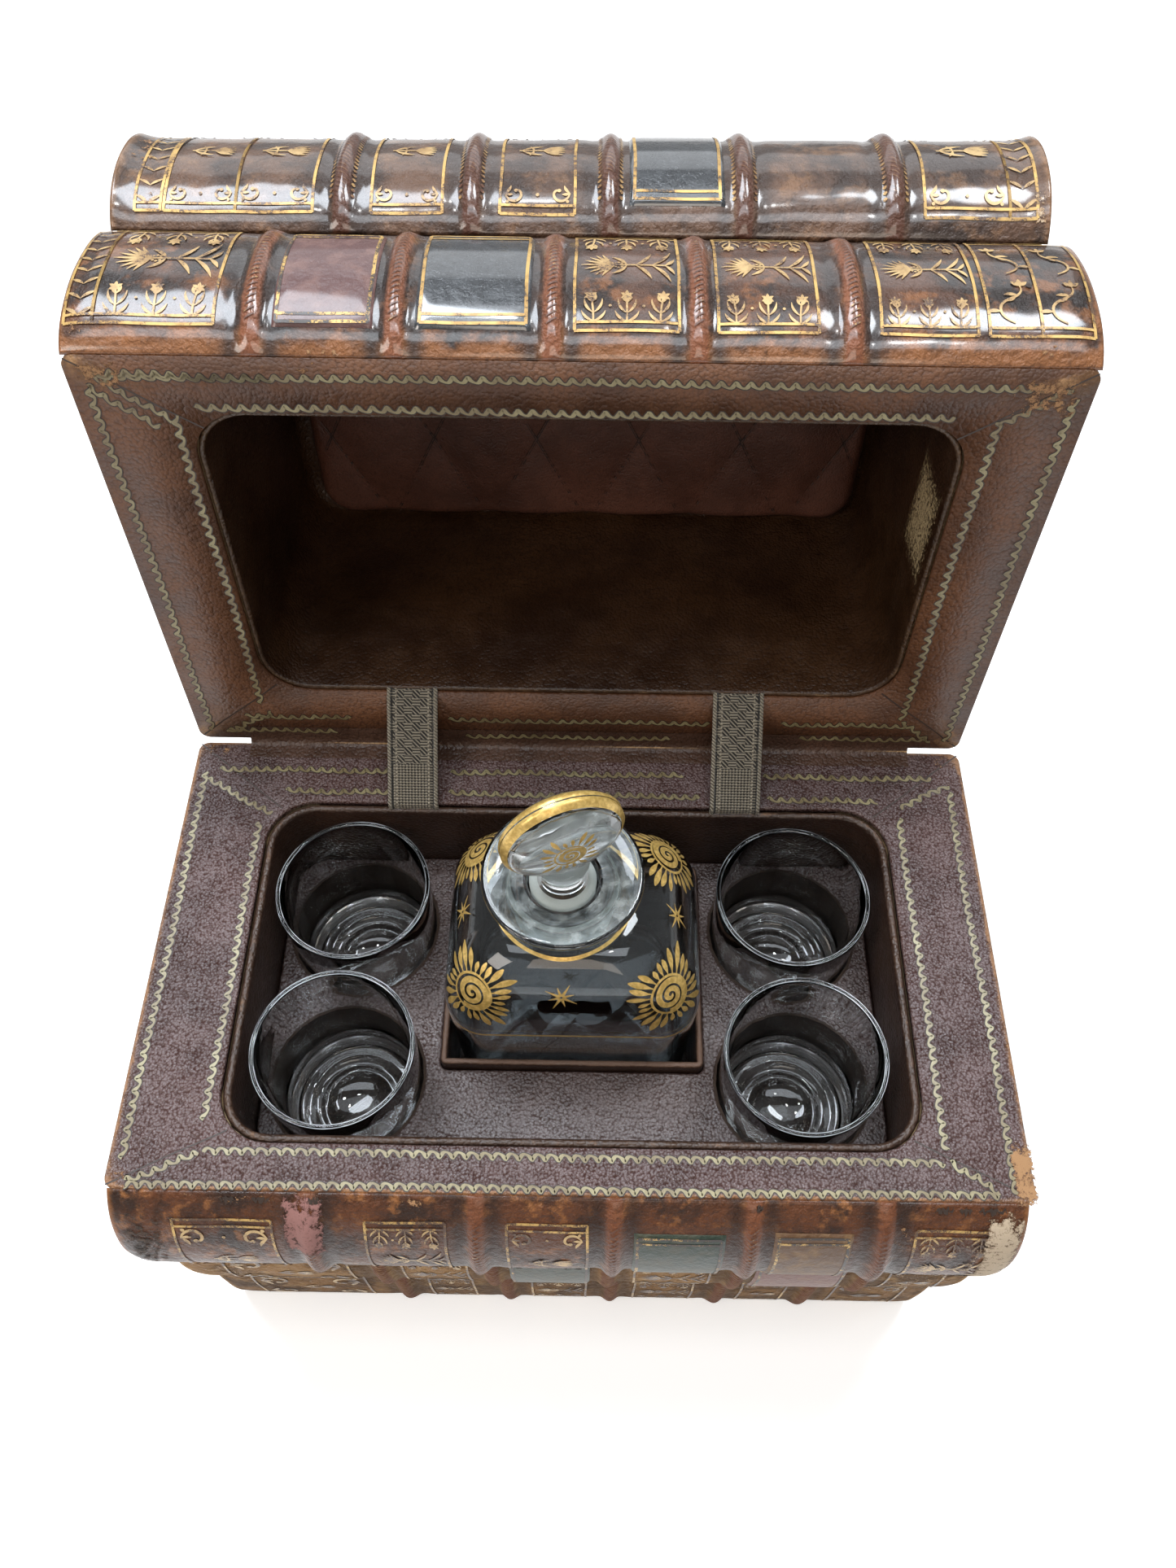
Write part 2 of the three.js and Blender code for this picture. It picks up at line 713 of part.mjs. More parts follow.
// A point of the open lid in the YZ plane, from its place on the closed one
function onLid(y, z) {
  return new THREE.Vector2(y, z).rotateAround(new THREE.Vector2(), openTurn).add(hingeLine);
}

const lapHeight = rimHeight + fit / 2 + hingeLeather / 2;
const lapFace = lidFace - fit / 2 - hingeLeather / 2;
const fold = new THREE.QuadraticBezierCurve(
  new THREE.Vector2(basePlace.back - hingeFold, lapHeight),
  new THREE.Vector2(basePlace.back, lapHeight),
  onLid(-hingeSetback - hingeFold, lapFace),
);
const hingePath = [
  new THREE.Vector2(basePlace.back - hingeLap, lapHeight),
  ...fold.getPoints(innerSteps),
  onLid(-hingeSetback - hingeLap, lapFace),
];
const hingeEnd = lidLength / 2 - hingeInset;
const hingeStrip = alongX(ribbon(hingePath, hingeLeather), -hingeEnd, hingeEnd);
piece(tantalus, 'hinge_leather', hingeStrip, 'oxblood');

const baseTuck = (liningInside.y[1] + liningOutside.y[1]) / 2;
const strapPath = [
  new THREE.Vector2(baseTuck, liningTop + fit),
  new THREE.Vector2(baseTuck, rimHeight + strapTuck),
  onLid(lidWell.y[1] + strapTuck, lidFace - strapThickness),
];
for (const [side, x] of [['left', strapShift - strapReach], ['right', strapShift + strapReach]]) {
  const strap = alongX(ribbon(strapPath, strapThickness), x - strapWidth / 2, x + strapWidth / 2);
  piece(tantalus, `strap_${side}`, strap, 'webbing');
}

// Tumblers: thin walls on a thick base
glassPlaces.forEach((place, number) => {
  const innerFoot = glassFoot - glassWall;
  const tumbler = turned([
    [0, 0],
    [glassFoot - glassHeel, 0],
    [glassFoot - glassHeel / 4, glassHeel / 4],
    [glassFoot, glassHeel],
    [glassMouth, glassHeight - glassWall / 2],
    [glassMouth - glassWall / 2, glassHeight],
    [glassMouth - glassWall, glassHeight - glassWall / 2],
    [innerFoot, glassBase + glassHeel],
    [innerFoot - glassHeel, glassBase + glassHeel / 4],
    [innerFoot - 2 * glassHeel, glassBase],
    [0, glassBase],
  ], glassSteps);
  piece(tantalus, `glass_${number + 1}`, tumbler, 'glass').position.set(place.x, place.y, seat);
});

// Decanter: an oblong body drawn in at the shoulders to a round neck with a broad dished lip
function decanterRing({ halfLength, halfWidth, corner, height, neckShare }) {
  const points = [];
  for (const [quarter, signX, signY] of [[0, 1, 1], [1, -1, 1], [2, -1, -1], [3, 1, -1]]) {
    for (let step = 0.5; step < cornerPoints; step += 1) {
      const angle = (quarter + step / cornerPoints) * Math.PI / 2;
      points.push(new THREE.Vector3(
        neckOffset[0] * neckShare + signX * (halfLength - corner) + corner * Math.cos(angle),
        neckOffset[1] * neckShare + signY * (halfWidth - corner) + corner * Math.sin(angle),
        height,
      ));
    }
  }
  return points;
}

function roundRing(radius, height) {
  return decanterRing({
    halfLength: radius, halfWidth: radius, corner: radius, height, neckShare: 1,
  });
}

// A level of the body: drawn in from its greatest size by an amount, at a height
function bodyRing(drawnIn, height) {
  return decanterRing({
    halfLength: bodyLength / 2 - drawnIn,
    halfWidth: bodyWidth / 2 - drawnIn,
    corner: bodyCorner,
    height,
    neckShare: 0,
  });
}

// The shoulder, a quarter of an oval from the body's oblong up to the neck's circle
function shoulderRings(wall) {
  const radius = wall ? boreRadius : neckRadius;
  const turnShares = [0.2, 0.4, 0.6, 0.8, 1];
  return turnShares.map((share) => {
    const turn = (share * Math.PI) / 2;
    const rise = Math.sin(turn);
    const draw = 1 - Math.cos(turn);
    const mix = (body, neck) => body + (neck - body) * draw;
    return decanterRing({
      halfLength: mix(bodyLength / 2 - wall, radius),
      halfWidth: mix(bodyWidth / 2 - wall, radius),
      corner: mix(bodyCorner, radius),
      height: bodyHeight - wall + shoulderHeight * rise,
      neckShare: draw,
    });
  });
}

const decanterRings = [
  bodyRing(bodyDraft + glassHeel, 0),
  bodyRing(bodyDraft + glassHeel / 4, glassHeel / 4),
  bodyRing(bodyDraft, glassHeel),
  bodyRing(0, bodyHeight),
  ...shoulderRings(0),
  roundRing(neckRadius, lipTop - lipThickness - lipFlare),
  roundRing((neckRadius + lipRadius) / 2, lipTop - lipThickness - lipFlare / 4),
  roundRing(lipRadius, lipTop - lipThickness),
  roundRing(lipRadius, lipTop - edgeRound),
  roundRing(lipRadius - edgeRound, lipTop),
  roundRing(dishRadius + edgeRound, lipTop),
  roundRing(dishRadius - edgeRound, lipTop - dishDepth / 2),
  roundRing(boreRadius + edgeRound, lipTop - dishDepth),
  roundRing(boreRadius, lipTop - dishDepth - edgeRound),
  ...shoulderRings(bodyWall).reverse(),
  bodyRing(bodyWall, bodyHeight - bodyWall),
  bodyRing(bodyWall + bodyDraft, bodyBase + glassHeel),
  bodyRing(bodyWall + bodyDraft + glassHeel, bodyBase),
];
const decanter = loft(decanterRings, (point) => new THREE.Vector2(point.x, point.y));
const decanterMiddle = collarBack - collarWidth / 2 - decanterForward;
piece(tantalus, 'decanter', decanter, 'glass').position.set(collarShift, decanterMiddle, seat);

// Stopper: the plug seats in the bore, and the lens-shaped disc is turned a little about Z
const plugFoot = seat + lipTop - dishDepth - plugDepth;
const discBottom = seat + lipTop + discGap;
const plug = turned([
  [0, plugFoot], [plugRadius - plugTaper, plugFoot], [plugRadius, discBottom + discSink],
  [0, discBottom + discSink],
], roundSteps);
const lensArc = new THREE.QuadraticBezierCurve(
  new THREE.Vector2(discRadius, discRim / 2),
  new THREE.Vector2(discRadius * lensShare, discThickness / 2),
  new THREE.Vector2(0, discThickness / 2),
).getPoints(innerSteps).map((point) => [point.x, point.y]);
const mirrored = [...lensArc].reverse().map(([radius, height]) => [radius, -height]);
const disc = turned([...mirrored, ...lensArc], glassSteps)
  .rotateX(Math.PI / 2)
  .rotateZ(THREE.MathUtils.degToRad(discTurn))
  .translate(0, 0, discBottom + discRadius);
const stopper = piece(tantalus, 'stopper', join(plug, disc), 'glass');
stopper.position.set(collarShift + neckOffset[0], decanterMiddle + neckOffset[1], 0);

export default tantalus;
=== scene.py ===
"""The looks of a tantalus in the form of five old leather-bound volumes, in metres."""
import json
import math

import bmesh
import bpy
import numpy as np
from mathutils import Matrix, Vector
from mathutils.bvhtree import BVHTree


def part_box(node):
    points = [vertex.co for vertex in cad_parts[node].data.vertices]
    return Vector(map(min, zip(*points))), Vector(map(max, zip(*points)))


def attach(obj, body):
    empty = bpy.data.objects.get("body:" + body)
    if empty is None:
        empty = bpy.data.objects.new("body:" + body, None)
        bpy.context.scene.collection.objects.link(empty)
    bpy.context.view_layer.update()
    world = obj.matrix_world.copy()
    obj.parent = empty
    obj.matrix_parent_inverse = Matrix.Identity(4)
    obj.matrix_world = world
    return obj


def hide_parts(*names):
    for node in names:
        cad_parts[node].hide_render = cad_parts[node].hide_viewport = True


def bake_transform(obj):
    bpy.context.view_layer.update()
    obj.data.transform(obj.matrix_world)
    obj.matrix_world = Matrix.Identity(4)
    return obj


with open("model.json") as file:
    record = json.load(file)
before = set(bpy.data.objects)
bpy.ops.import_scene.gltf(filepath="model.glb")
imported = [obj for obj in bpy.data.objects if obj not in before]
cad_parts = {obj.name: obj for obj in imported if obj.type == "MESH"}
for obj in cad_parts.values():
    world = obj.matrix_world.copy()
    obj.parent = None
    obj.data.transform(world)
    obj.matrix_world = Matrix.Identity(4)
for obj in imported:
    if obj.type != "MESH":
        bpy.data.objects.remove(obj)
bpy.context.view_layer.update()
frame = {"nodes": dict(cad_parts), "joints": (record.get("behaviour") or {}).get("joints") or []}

# Page blocks: folded sheets of rag paper, sewn, glued up round at the back and cut at the edges,
# which years of dust and handling have toned. The case's wells are cut through three of them.
MM = 0.001


class Value:
    """A number, a colour or a vector that a node gives; sums on it add Math nodes"""

    def __init__(self, nodes, socket):
        self.nodes = nodes
        self.socket = socket

    def __add__(self, other):
        return self.nodes.math("ADD", self, other)

    def __sub__(self, other):
        return self.nodes.math("SUBTRACT", self, other)

    def __mul__(self, other):
        return self.nodes.math("MULTIPLY", self, other)

    def __rsub__(self, other):
        return self.nodes.math("SUBTRACT", other, self)

    __radd__ = __add__
    __rmul__ = __mul__


def with_alpha(colour):
    return colour if isinstance(colour, Value) else (*colour, 1)


class Nodes:
    """A node tree, with the sums and mixes that are made in it"""

    def __init__(self, tree):
        self.tree = tree

    def value(self, kind, output, sockets=None, **settings):
        """One output of a new node, with its settings made first and then its sockets"""
        made = self.tree.nodes.new("ShaderNode" + kind)
        for setting, value in settings.items():
            setattr(made, setting, value)
        for socket, value in (sockets or {}).items():
            if isinstance(value, Value):
                self.tree.links.new(value.socket, made.inputs[socket])
            else:
                made.inputs[socket].default_value = value
        return Value(self, made.outputs[output])

    def math(self, operation, *values):
        return self.value("Math", 0, dict(enumerate(values)), operation=operation)

    def vector(self, operation, *values):
        output = "Vector" if operation == "ADD" else "Value"
        return self.value("VectorMath", output, dict(enumerate(values)), operation=operation)

    def ease(self, value, low, high):
        sockets = {"Value": value, "From Min": low, "From Max": high}
        return self.value("MapRange", "Result", sockets, interpolation_type="SMOOTHSTEP")

    def mix(self, share, first, second):
        sockets = {0: share, 6: with_alpha(first), 7: with_alpha(second)}
        return self.value("Mix", 2, sockets, data_type="RGBA")

    def laid(self, colour, *coats):
        """A ground colour with others laid over it, each (share, colour)"""
        for share, coat in coats:
            colour = self.mix(share, colour, coat)
        return colour


class Finish(Nodes):
    """A procedural finish: one Principled shader, with fixed values on its own sockets"""

    def __init__(self, name, **fixed):
        self.material = bpy.data.materials.new(name)
        self.material.use_nodes = True
        super().__init__(self.material.node_tree)
        self.shader = self.tree.nodes["Principled BSDF"]
        for socket, value in fixed.items():
            self.shader.inputs[socket.replace("_", " ")].default_value = value
        self.place = self.value("TexCoord", "Object")

    def along(self):
        return self.value("SeparateXYZ", "X", {"Vector": self.place})

    def mark(self, name):
        return self.value("Attribute", "Fac", attribute_name=name)

    def noise(self, scale, detail=3, roughness=0.55, place=None):
        sockets = {"Vector": place or self.place, "Scale": scale, "Detail": detail, "Roughness": roughness}
        return self.value("TexNoise", "Fac", sockets)

    def cells(self, scale):
        return self.value("TexVoronoi", "Distance", {"Vector": self.place, "Scale": scale})

    def feed(self, socket, value):
        self.tree.links.new(value.socket, self.shader.inputs[socket])

    def bump(self, height, distance, strength=1):
        sockets = {"Height": height, "Distance": distance, "Strength": strength}
        self.feed("Normal", self.value("Bump", "Normal", sockets))


def dress(finish, *nodes):
    for node in nodes:
        frame["nodes"][node].material_slots[0].material = finish.material


# the lid turns about the hinge line and stands open at rest; its volumes are worked out closed
hinge = next(joint for joint in frame["joints"] if joint["name"] == "lid_hinge")
hinge_line = Vector(hinge["pos_m"])
open_angle = math.radians(-hinge["range_deg"][0])
open_lid = Matrix.Translation(hinge_line) @ Matrix.Rotation(-open_angle, 4, "X")
lid_up = open_lid.to_3x3() @ Vector((0, 0, 1))


def page_edges(name, stack):
    finish = Finish(name, Roughness=0.85)
    height = finish.vector("DOT_PRODUCT", finish.place, stack)
    x = finish.along()
    layers = finish.value("CombineXYZ", 0, {"X": height * 2600, "Y": x * 40, "Z": x * 7})
    sheets = finish.noise(1, 3, 0.6, layers)
    toning = finish.noise(22, 4)
    finish.feed("Base Color", finish.laid(
        (0.30, 0.20, 0.10),
        (finish.ease(sheets, 0.35, 0.66), (0.58, 0.46, 0.28)),
        (finish.ease(toning, 0.45, 0.75) * 0.6, (0.22, 0.13, 0.06)),
    ))
    finish.bump(sheets, 0.5 * MM, 0.7)
    return finish


base_blocks = [f"base_{row}_block" for row in ("bottom", "middle", "top")]
dress(page_edges("base_page_edges", (0, 0, 1)), *base_blocks)
dress(page_edges("lid_page_edges", lid_up), "lid_lower_block", "lid_upper_block")

# Boards: millboard covered in calf, turned in over the edges. The calf was sprinkled and
# polished, and has gone bare and tan along the edges and at the corners.


def calf(name, dark, middle, tan, gloss, mottle=45, spot=0.5, coat=0.3, polish=1.5,
         band=(0.17, 0.065, 0.035)):
    """Old polished calf. Marks say how worn a place is, how near a raised band, and how far up"""
    finish = Finish(name, Coat_Weight=coat, Coat_Roughness=0.12, Coat_IOR=polish,
                    Specular_IOR_Level=0.22)
    clouds = finish.noise(mottle, 5, 0.62)
    patches = finish.noise(mottle * 2.7, 4, 0.6)
    dents = finish.noise(mottle * 4, 4, 0.6)
    veins = finish.noise(mottle * 9, 3, 0.5)
    crackle = finish.noise(mottle * 14, 3, 0.6)
    pores = finish.cells(1500)
    rub, cord, gully, across, warm, roll = (
        finish.mark(mark) for mark in ("rub", "cord", "gully", "across", "warm", "roll"))
    twist = finish.math("SINE", (across + finish.along() * 0.55) * 3900) * roll
    finish.feed("Base Color", finish.laid(
        dark,
        (finish.ease(clouds, 0.38, 0.60), middle),
        (finish.ease(patches, 0.52, 0.68) * spot, tan),
        (finish.ease(warm + 1.3 * patches - 0.65, 0.40, 0.80) * 0.8, tan),
        # painted shade, darkening the hollows beside the raised bands
        (gully * 0.85, dark),
        (finish.ease(cord + 0.3 * patches, 0.35, 0.85) * 0.9, band),
        (finish.ease(twist, 0.25, 0.95) * finish.ease(patches, 0.36, 0.6) * 0.6, tan),
        (finish.ease(rub + patches * 0.5, 0.75, 1.25) * 0.8, tan),
        (finish.ease(veins, 0.55, 0.8) * 0.5, dark),
    ))
    finish.feed("Roughness", gloss + 0.22 * finish.ease(veins, 0.3, 0.8) + 0.12 * rub)
    relief = pores * 0.3 + veins * 2.4 + crackle * 1.6 + clouds * 2.6 + dents * 3.4 + 0.5 * twist
    finish.bump(relief, 0.42 * MM, 0.9)
    return finish


board_calf = calf("board_calf", (0.018, 0.009, 0.007), (0.055, 0.024, 0.014), (0.16, 0.07, 0.03), 0.33)
dress(board_calf, *[node for node in frame["nodes"] if node.endswith(("lower_board", "upper_board"))])

# Spines: calf drawn wet over the rounded backs and over five raised bands of cord each, then
# polished. The bands and the head caps are rubbed to a warm tan, and the joints are dark.
fine_step = 0.8 * MM
leather_thickness = 2.2 * MM
uneven_height, uneven_step = 0.22 * MM, 7 * MM
band_half = 3.9 * MM
band_rise = 1.5 * MM
cord_lift = 1.1 * MM
# the last is how far the painted shade beside each band reaches
gully_depth, gully_width, painted_shade_width = 0.35 * MM, 2 * MM, 3.2 * MM
cap_depth = 8 * MM
worn_end = 5 * MM
belly_shares = (0.16, 0.80)
across_points = 41
inside_points = 8
curve_points = 200


def closed_box(node, place):
    """A CAD node's lowest and highest corners in its case's own closed frame"""
    to_case = place.inverted()
    points = np.array([to_case @ vertex.co for vertex in frame["nodes"][node].data.vertices])
    return points.min(0), points.max(0)


class Book:
    """One volume: its rounded back as a surface over x and a share of the way across"""

    def __init__(self, name, shoulders, belly, band_shares, lean=0, cap=0, warmth=0):
        self.name = name
        self.body = name.split("_")[0]
        self.place = open_lid if self.body == "lid" else Matrix.Identity(4)
        low, high = closed_box(f"{name}_spine", self.place)
        self.left, self.right, self.foot = low[0], high[0], low[2]
        self.middle, self.length = (low[0] + high[0]) / 2, high[0] - low[0]
        self.thickness = high[2] - low[2]
        self.front = closed_box(f"{self.body}_rim", self.place)[0][1]
        self.shoulders = [shoulder * MM for shoulder in shoulders]
        self.belly, self.lean, self.cap = belly * MM, lean * MM, cap * MM
        self.warmth = warmth
        self.bands = [self.middle + share * self.length for share in band_shares]

    def along(self, *shares):
        """Places along the volume, counted from its middle in shares of its length"""
        return [self.middle + share * self.length for share in shares]

    def to_band(self, x):
        return np.min([np.abs(x - band) for band in self.bands], axis=0)

    def hump(self, x):
        """How far the raised bands stand up at x, from 0 to 1"""
        return np.cos(np.pi / 2 * np.clip(self.to_band(x) / band_half, 0, 1)) ** 1.2

    def gully(self, x, width=gully_width):
        """How deep x lies in the hollows that the bands were nipped out of, from 0 to 1"""
        return np.exp(-(((self.to_band(x) - 1.5 * band_half) / width) ** 2))

    def rise(self, x):
        to_end = np.minimum(x - self.left, self.right - x)
        leaning = self.lean * (x - self.left) / self.length
        capped = self.cap * np.clip(1 - to_end / cap_depth, 0, 1) ** 2
        return band_rise * self.hump(x) + leaning + capped - gully_depth * self.gully(x)

    def at(self, x, share, lift=0, rise=None, inset=0):
        """Points on the back, in the row frame, with numpy arrays of x and of share"""
        x, share = np.broadcast_arrays(np.asarray(x, float), np.asarray(share, float))
        if rise is None:
            rise = self.rise(x)
            lift = lift + cord_lift * self.hump(x) * np.abs(np.sin(np.pi * share)) ** 0.4
        low, high = self.shoulders
        reach = (self.belly + rise - (low + high) / 8) * 4 / 3
        inner = self.thickness - 2 * inset
        ys = [self.front - drawn for drawn in (low, reach, reach, high)]
        zs = [inset + inner * height for height in (0, *belly_shares, 1)]
        rest = 1 - share
        weights = [rest**3, 3 * rest**2 * share, 3 * rest * share**2, share**3]
        slopes = [-3 * rest**2, 3 * rest**2 - 6 * rest * share, 6 * rest * share - 3 * share**2,
                  3 * share**2]
        y, z = (sum(w * c for w, c in zip(weights, line)) for line in (ys, zs))
        dy, dz = (sum(w * c for w, c in zip(slopes, line)) for line in (ys, zs))
        size = np.hypot(dy, dz)
        closed = np.stack([x, y - lift * dz / size, self.foot + z + lift * dy / size], -1)
        return moved(closed, self.place)

    def share_at(self, height):
        """The share of the curve at a height above the volume's underside"""
        shares = np.linspace(0, 1, curve_points)
        inner = [self.thickness * share for share in belly_shares]
        rest = 1 - shares
        rising = 3 * rest**2 * shares * inner[0] + 3 * rest * shares**2 * inner[1]
        return np.interp(height, rising + shares**3 * self.thickness, shares)


def moved(points, place):
    matrix = np.array(place)
    return points @ matrix[:3, :3].T + matrix[:3, 3]


def placed(name, mesh, body, finish, stands_for=()):
    mesh.materials.append(finish.material)
    made = bpy.data.objects.new(name, mesh)
    bpy.context.scene.collection.objects.link(made)
    if body:
        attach(made, body)
    if stands_for:
        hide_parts(*stands_for)
    return made


def mesh_piece(name, points, faces, body, finish, marks=None, stands_for=()):
    """A smooth mesh that rides on a body, with numbers marked on its vertices"""
    mesh = bpy.data.meshes.new(name)
    mesh.from_pydata(points.reshape(-1, 3).tolist(), [], faces)
    mesh.shade_smooth()
    for mark, values in (marks or {}).items():
        numbers = np.ravel(values).astype(np.float32)
        mesh.attributes.new(mark, "FLOAT", "POINT").data.foreach_set("value", numbers)
    return placed(name, mesh, body, finish, stands_for)


def grid_faces(rows, columns, round_rows=False, round_columns=False, ends=False):
    faces = []
    for row in range(rows if round_rows else rows - 1):
        for column in range(columns if round_columns else columns - 1):
            a, b = row * columns, (row + 1) % rows * columns
            c, d = column, (column + 1) % columns
            faces.append((a + c, a + d, b + d, b + c))
    if ends:
        faces.append(tuple(range(columns - 1, -1, -1)))
        faces.append(tuple((rows - 1) * columns + column for column in range(columns)))
    return faces


def grid_piece(name, points, body, finish, slot=None, marks=None, stands_for=(), **joined):
    """A skin over rows of points; joined says which way they meet, as in grid_faces"""
    faces = grid_faces(*points.shape[:2], **joined)
    return mesh_piece(name, points, faces, body, finish, marks, stands_for)


def facing_out(made):
    shell = bmesh.new()
    shell.from_mesh(made.data)
    bmesh.ops.recalc_face_normals(shell, faces=shell.faces)
    shell.to_mesh(made.data)
    shell.free()
    return made


def wavering(x, y, seed, step):
    """A slow uneven swell over a surface, from about -1 to 1"""
    total = 0
    for number, (turn, share) in enumerate([(0.3, 1), (1.4, 0.77), (2.3, 0.55), (0.9, 0.36), (2.9, 0.27)]):
        phase = seed * 1.7 + number * 2.1
        total = total + np.sin((x * math.cos(turn) + y * math.sin(turn)) / (step * share) + phase)
    return total / 5


books = {}
for name, shoulders, belly, band_shares, more in (
    ("base_bottom", (3, 3), 5.5, (-0.241, -0.093, 0.053, 0.207, 0.331), {"cap": -1}),
    ("base_middle", (4, 4), 10, (-0.244, -0.104, 0.043, 0.206, 0.365), {"cap": -1.2}),
    ("base_top", (6, 0), 15.6, (-0.284, -0.1, 0.051, 0.203, 0.347), {"cap": -2, "warmth": 0.35}),
    ("lid_lower", (0, 6.5), 12, (-0.3165, -0.1795, -0.0283, 0.1128, 0.2616),
     {"cap": -1.5, "warmth": 1}),
    ("lid_upper", (6.5, 2), 16.5, (-0.2534, -0.1155, 0.0328, 0.1759, 0.3362), {"lean": 4, "cap": 2}),
):
    books[name] = Book(name, shoulders, belly, band_shares, **more)
spine_calf = {
    "base_bottom": calf("bottom_calf", (0.09, 0.045, 0.017), (0.26, 0.14, 0.055), (0.40, 0.25, 0.11),
                        0.60, coat=0.0),
    "base_middle": calf("middle_calf", (0.11, 0.055, 0.018), (0.33, 0.185, 0.075), (0.50, 0.32, 0.14),
                        0.60, coat=0.0),
    "base_top": calf("russet_calf", (0.030, 0.012, 0.006), (0.110, 0.036, 0.012), (0.34, 0.135, 0.042),
                     0.36, mottle=60, spot=0.6, coat=0.25, band=(0.17, 0.058, 0.024)),
    "lid_lower": calf("mottled_calf", (0.022, 0.015, 0.013), (0.100, 0.045, 0.026), (0.29, 0.115, 0.040),
                      0.28, spot=0.6, coat=0.75, polish=1.65, band=(0.24, 0.085, 0.040)),
    "lid_upper": calf("brown_calf", (0.040, 0.024, 0.018), (0.130, 0.070, 0.043), (0.27, 0.145, 0.075),
                      0.28, coat=0.75, polish=1.65, band=(0.10, 0.038, 0.022)),
}


def spine_piece(book, seed):
    count = int(book.length / fine_step)
    x = np.linspace(book.left, book.right, count)[:, None]
    outer = np.linspace(0, 1, across_points)[None, :]
    inner = np.linspace(1, 0, inside_points)[None, :]
    uneven = wavering(x, outer * book.thickness, seed, uneven_step) * np.sin(np.pi * outer)
    outside = book.at(x, outer, lift=uneven_height * (uneven - 1))
    inside = book.at(x, inner, rise=np.full((count, 1), -leather_thickness), inset=leather_thickness)
    hump = book.hump(x)
    to_end = np.minimum(x - book.left, book.right - x)
    to_side = np.minimum(outer, 1 - outer)
    by_rim = outer if book.body == "lid" else 1 - outer
    marks = {
        "rub": np.maximum(np.clip(1 - to_end / worn_end, 0, 1), 0.7 * np.clip(1 - to_side / 0.04, 0, 1)),
        "cord": hump,
        # painted shade in the hollows beside the bands
        "gully": book.gully(x, painted_shade_width) * (1 - hump),
        "across": outer * book.thickness,
        "roll": np.clip(1.6 * hump - 0.6, 0, 1) * np.clip((to_side - 0.14) / 0.08, 0, 1),
        "warm": book.warmth * np.clip(1 - by_rim / 0.3, 0, 1),
    }
    hidden = np.zeros((count, inside_points))
    for mark, values in marks.items():
        marks[mark] = np.concatenate([np.broadcast_to(values, (count, across_points)), hidden], 1)
    points = np.concatenate([outside, inside], 1)
    made = grid_piece(f"{book.name}_back", points, book.body, spine_calf[book.name],
                      f"{book.body}_leather", marks, [f"{book.name}_spine"], round_columns=True, ends=True)
    facing_out(made)


for seed, book in enumerate(books.values()):
    spine_piece(book, seed)

# Endbands: silk of two colours, sewn by hand round a core at the head and tail of each page
# block and glued down under the spine.
endband_silk = Finish("endband_silk", Roughness=0.7)
turns = endband_silk.math("SINE", endband_silk.vector("DOT_PRODUCT", endband_silk.place, (0, 2600, 2600)))
two_silks = endband_silk.mix(endband_silk.ease(turns, -0.2, 0.2), (0.34, 0.21, 0.10), (0.12, 0.10, 0.06))
endband_silk.feed("Base Color", two_silks)
endband_silk.bump(turns, 0.3 * MM)
dress(endband_silk, *[f"{book}_endband_{side}" for book in books for side in ("left", "right")])

# Title labels: pieces of leather pared thin, stained and polished, which are glued on between
# the raised bands. They are left bare of any title.
label_lift = 0.7 * MM
label_fade = 0.7 * MM
label_edge = 0.15 * MM
label_points = 40


def label_leather(name, colour, worn, gloss, coat, polish=1.5):
    finish = Finish(name, Coat_Weight=coat, Coat_Roughness=0.11, Coat_IOR=polish)
    clouds = finish.noise(160, 4)
    grain = finish.noise(2200, 2)
    dents = finish.noise(300, 4, 0.6)
    streaks = finish.value("CombineXYZ", 0, {"X": finish.along() * 0.25})
    drag = finish.noise(420, 3, 0.6, finish.vector("ADD", finish.place, streaks))
    finish.feed("Base Color", finish.laid(
        colour, (finish.ease(clouds, 0.42, 0.72), worn), (finish.ease(drag, 0.6, 0.8) * 0.5, worn)))
    finish.feed("Roughness", gloss + 0.25 * clouds)
    finish.bump(grain * 0.3 + dents * 2.8 + drag * 1.4, 0.35 * MM, 0.8)
    return finish


label_looks = {
    "green": label_leather("green_label", (0.018, 0.035, 0.022), (0.06, 0.06, 0.035), 0.35, 0.2),
    "red": label_leather("red_label", (0.14, 0.035, 0.02), (0.2, 0.09, 0.05), 0.35, 0.2),
    "brown": label_leather("brown_label", (0.12, 0.06, 0.026), (0.24, 0.14, 0.06), 0.4, 0.1),
    "mauve": label_leather("mauve_label", (0.10, 0.042, 0.038), (0.17, 0.085, 0.07), 0.34, 0.45, 1.6),
    "black": label_leather("blue_black_label", (0.008, 0.011, 0.015), (0.03, 0.035, 0.04), 0.16, 1.0, 1.8),
}
# each label: where it lies along the volume and round its back, in shares; how far in its two
# fillets lie, in mm; and how worn they are
label_places = {
    ("base_middle", "green"): ((-0.082, 0.02), (0.2, 0.84), (1.4, 2.2), 0.71),
    ("base_middle", "red"): ((0.229, 0.343), (0.2, 0.84), (1.4, 2.2), 0.71),
    ("base_top", "green"): ((0.073, 0.174), (0.16, 0.80), (1.4, 2.2), 0.71),
    ("base_top", "brown"): ((0.227, 0.313), (0.16, 0.82), (1.4, 2.2), 0.71),
    ("lid_lower", "mauve"): ((-0.2963, -0.1997), (0.16, 0.82), (1.2, 2.2), 0.67),
    ("lid_lower", "black"): ((-0.1593, -0.0485), (0.16, 0.84), (1.4, 2.4), 0.57),
    ("lid_upper", "black"): ((0.0534, 0.1552), (0.16, 0.84), (1.6, 2.4), 0.58),
}
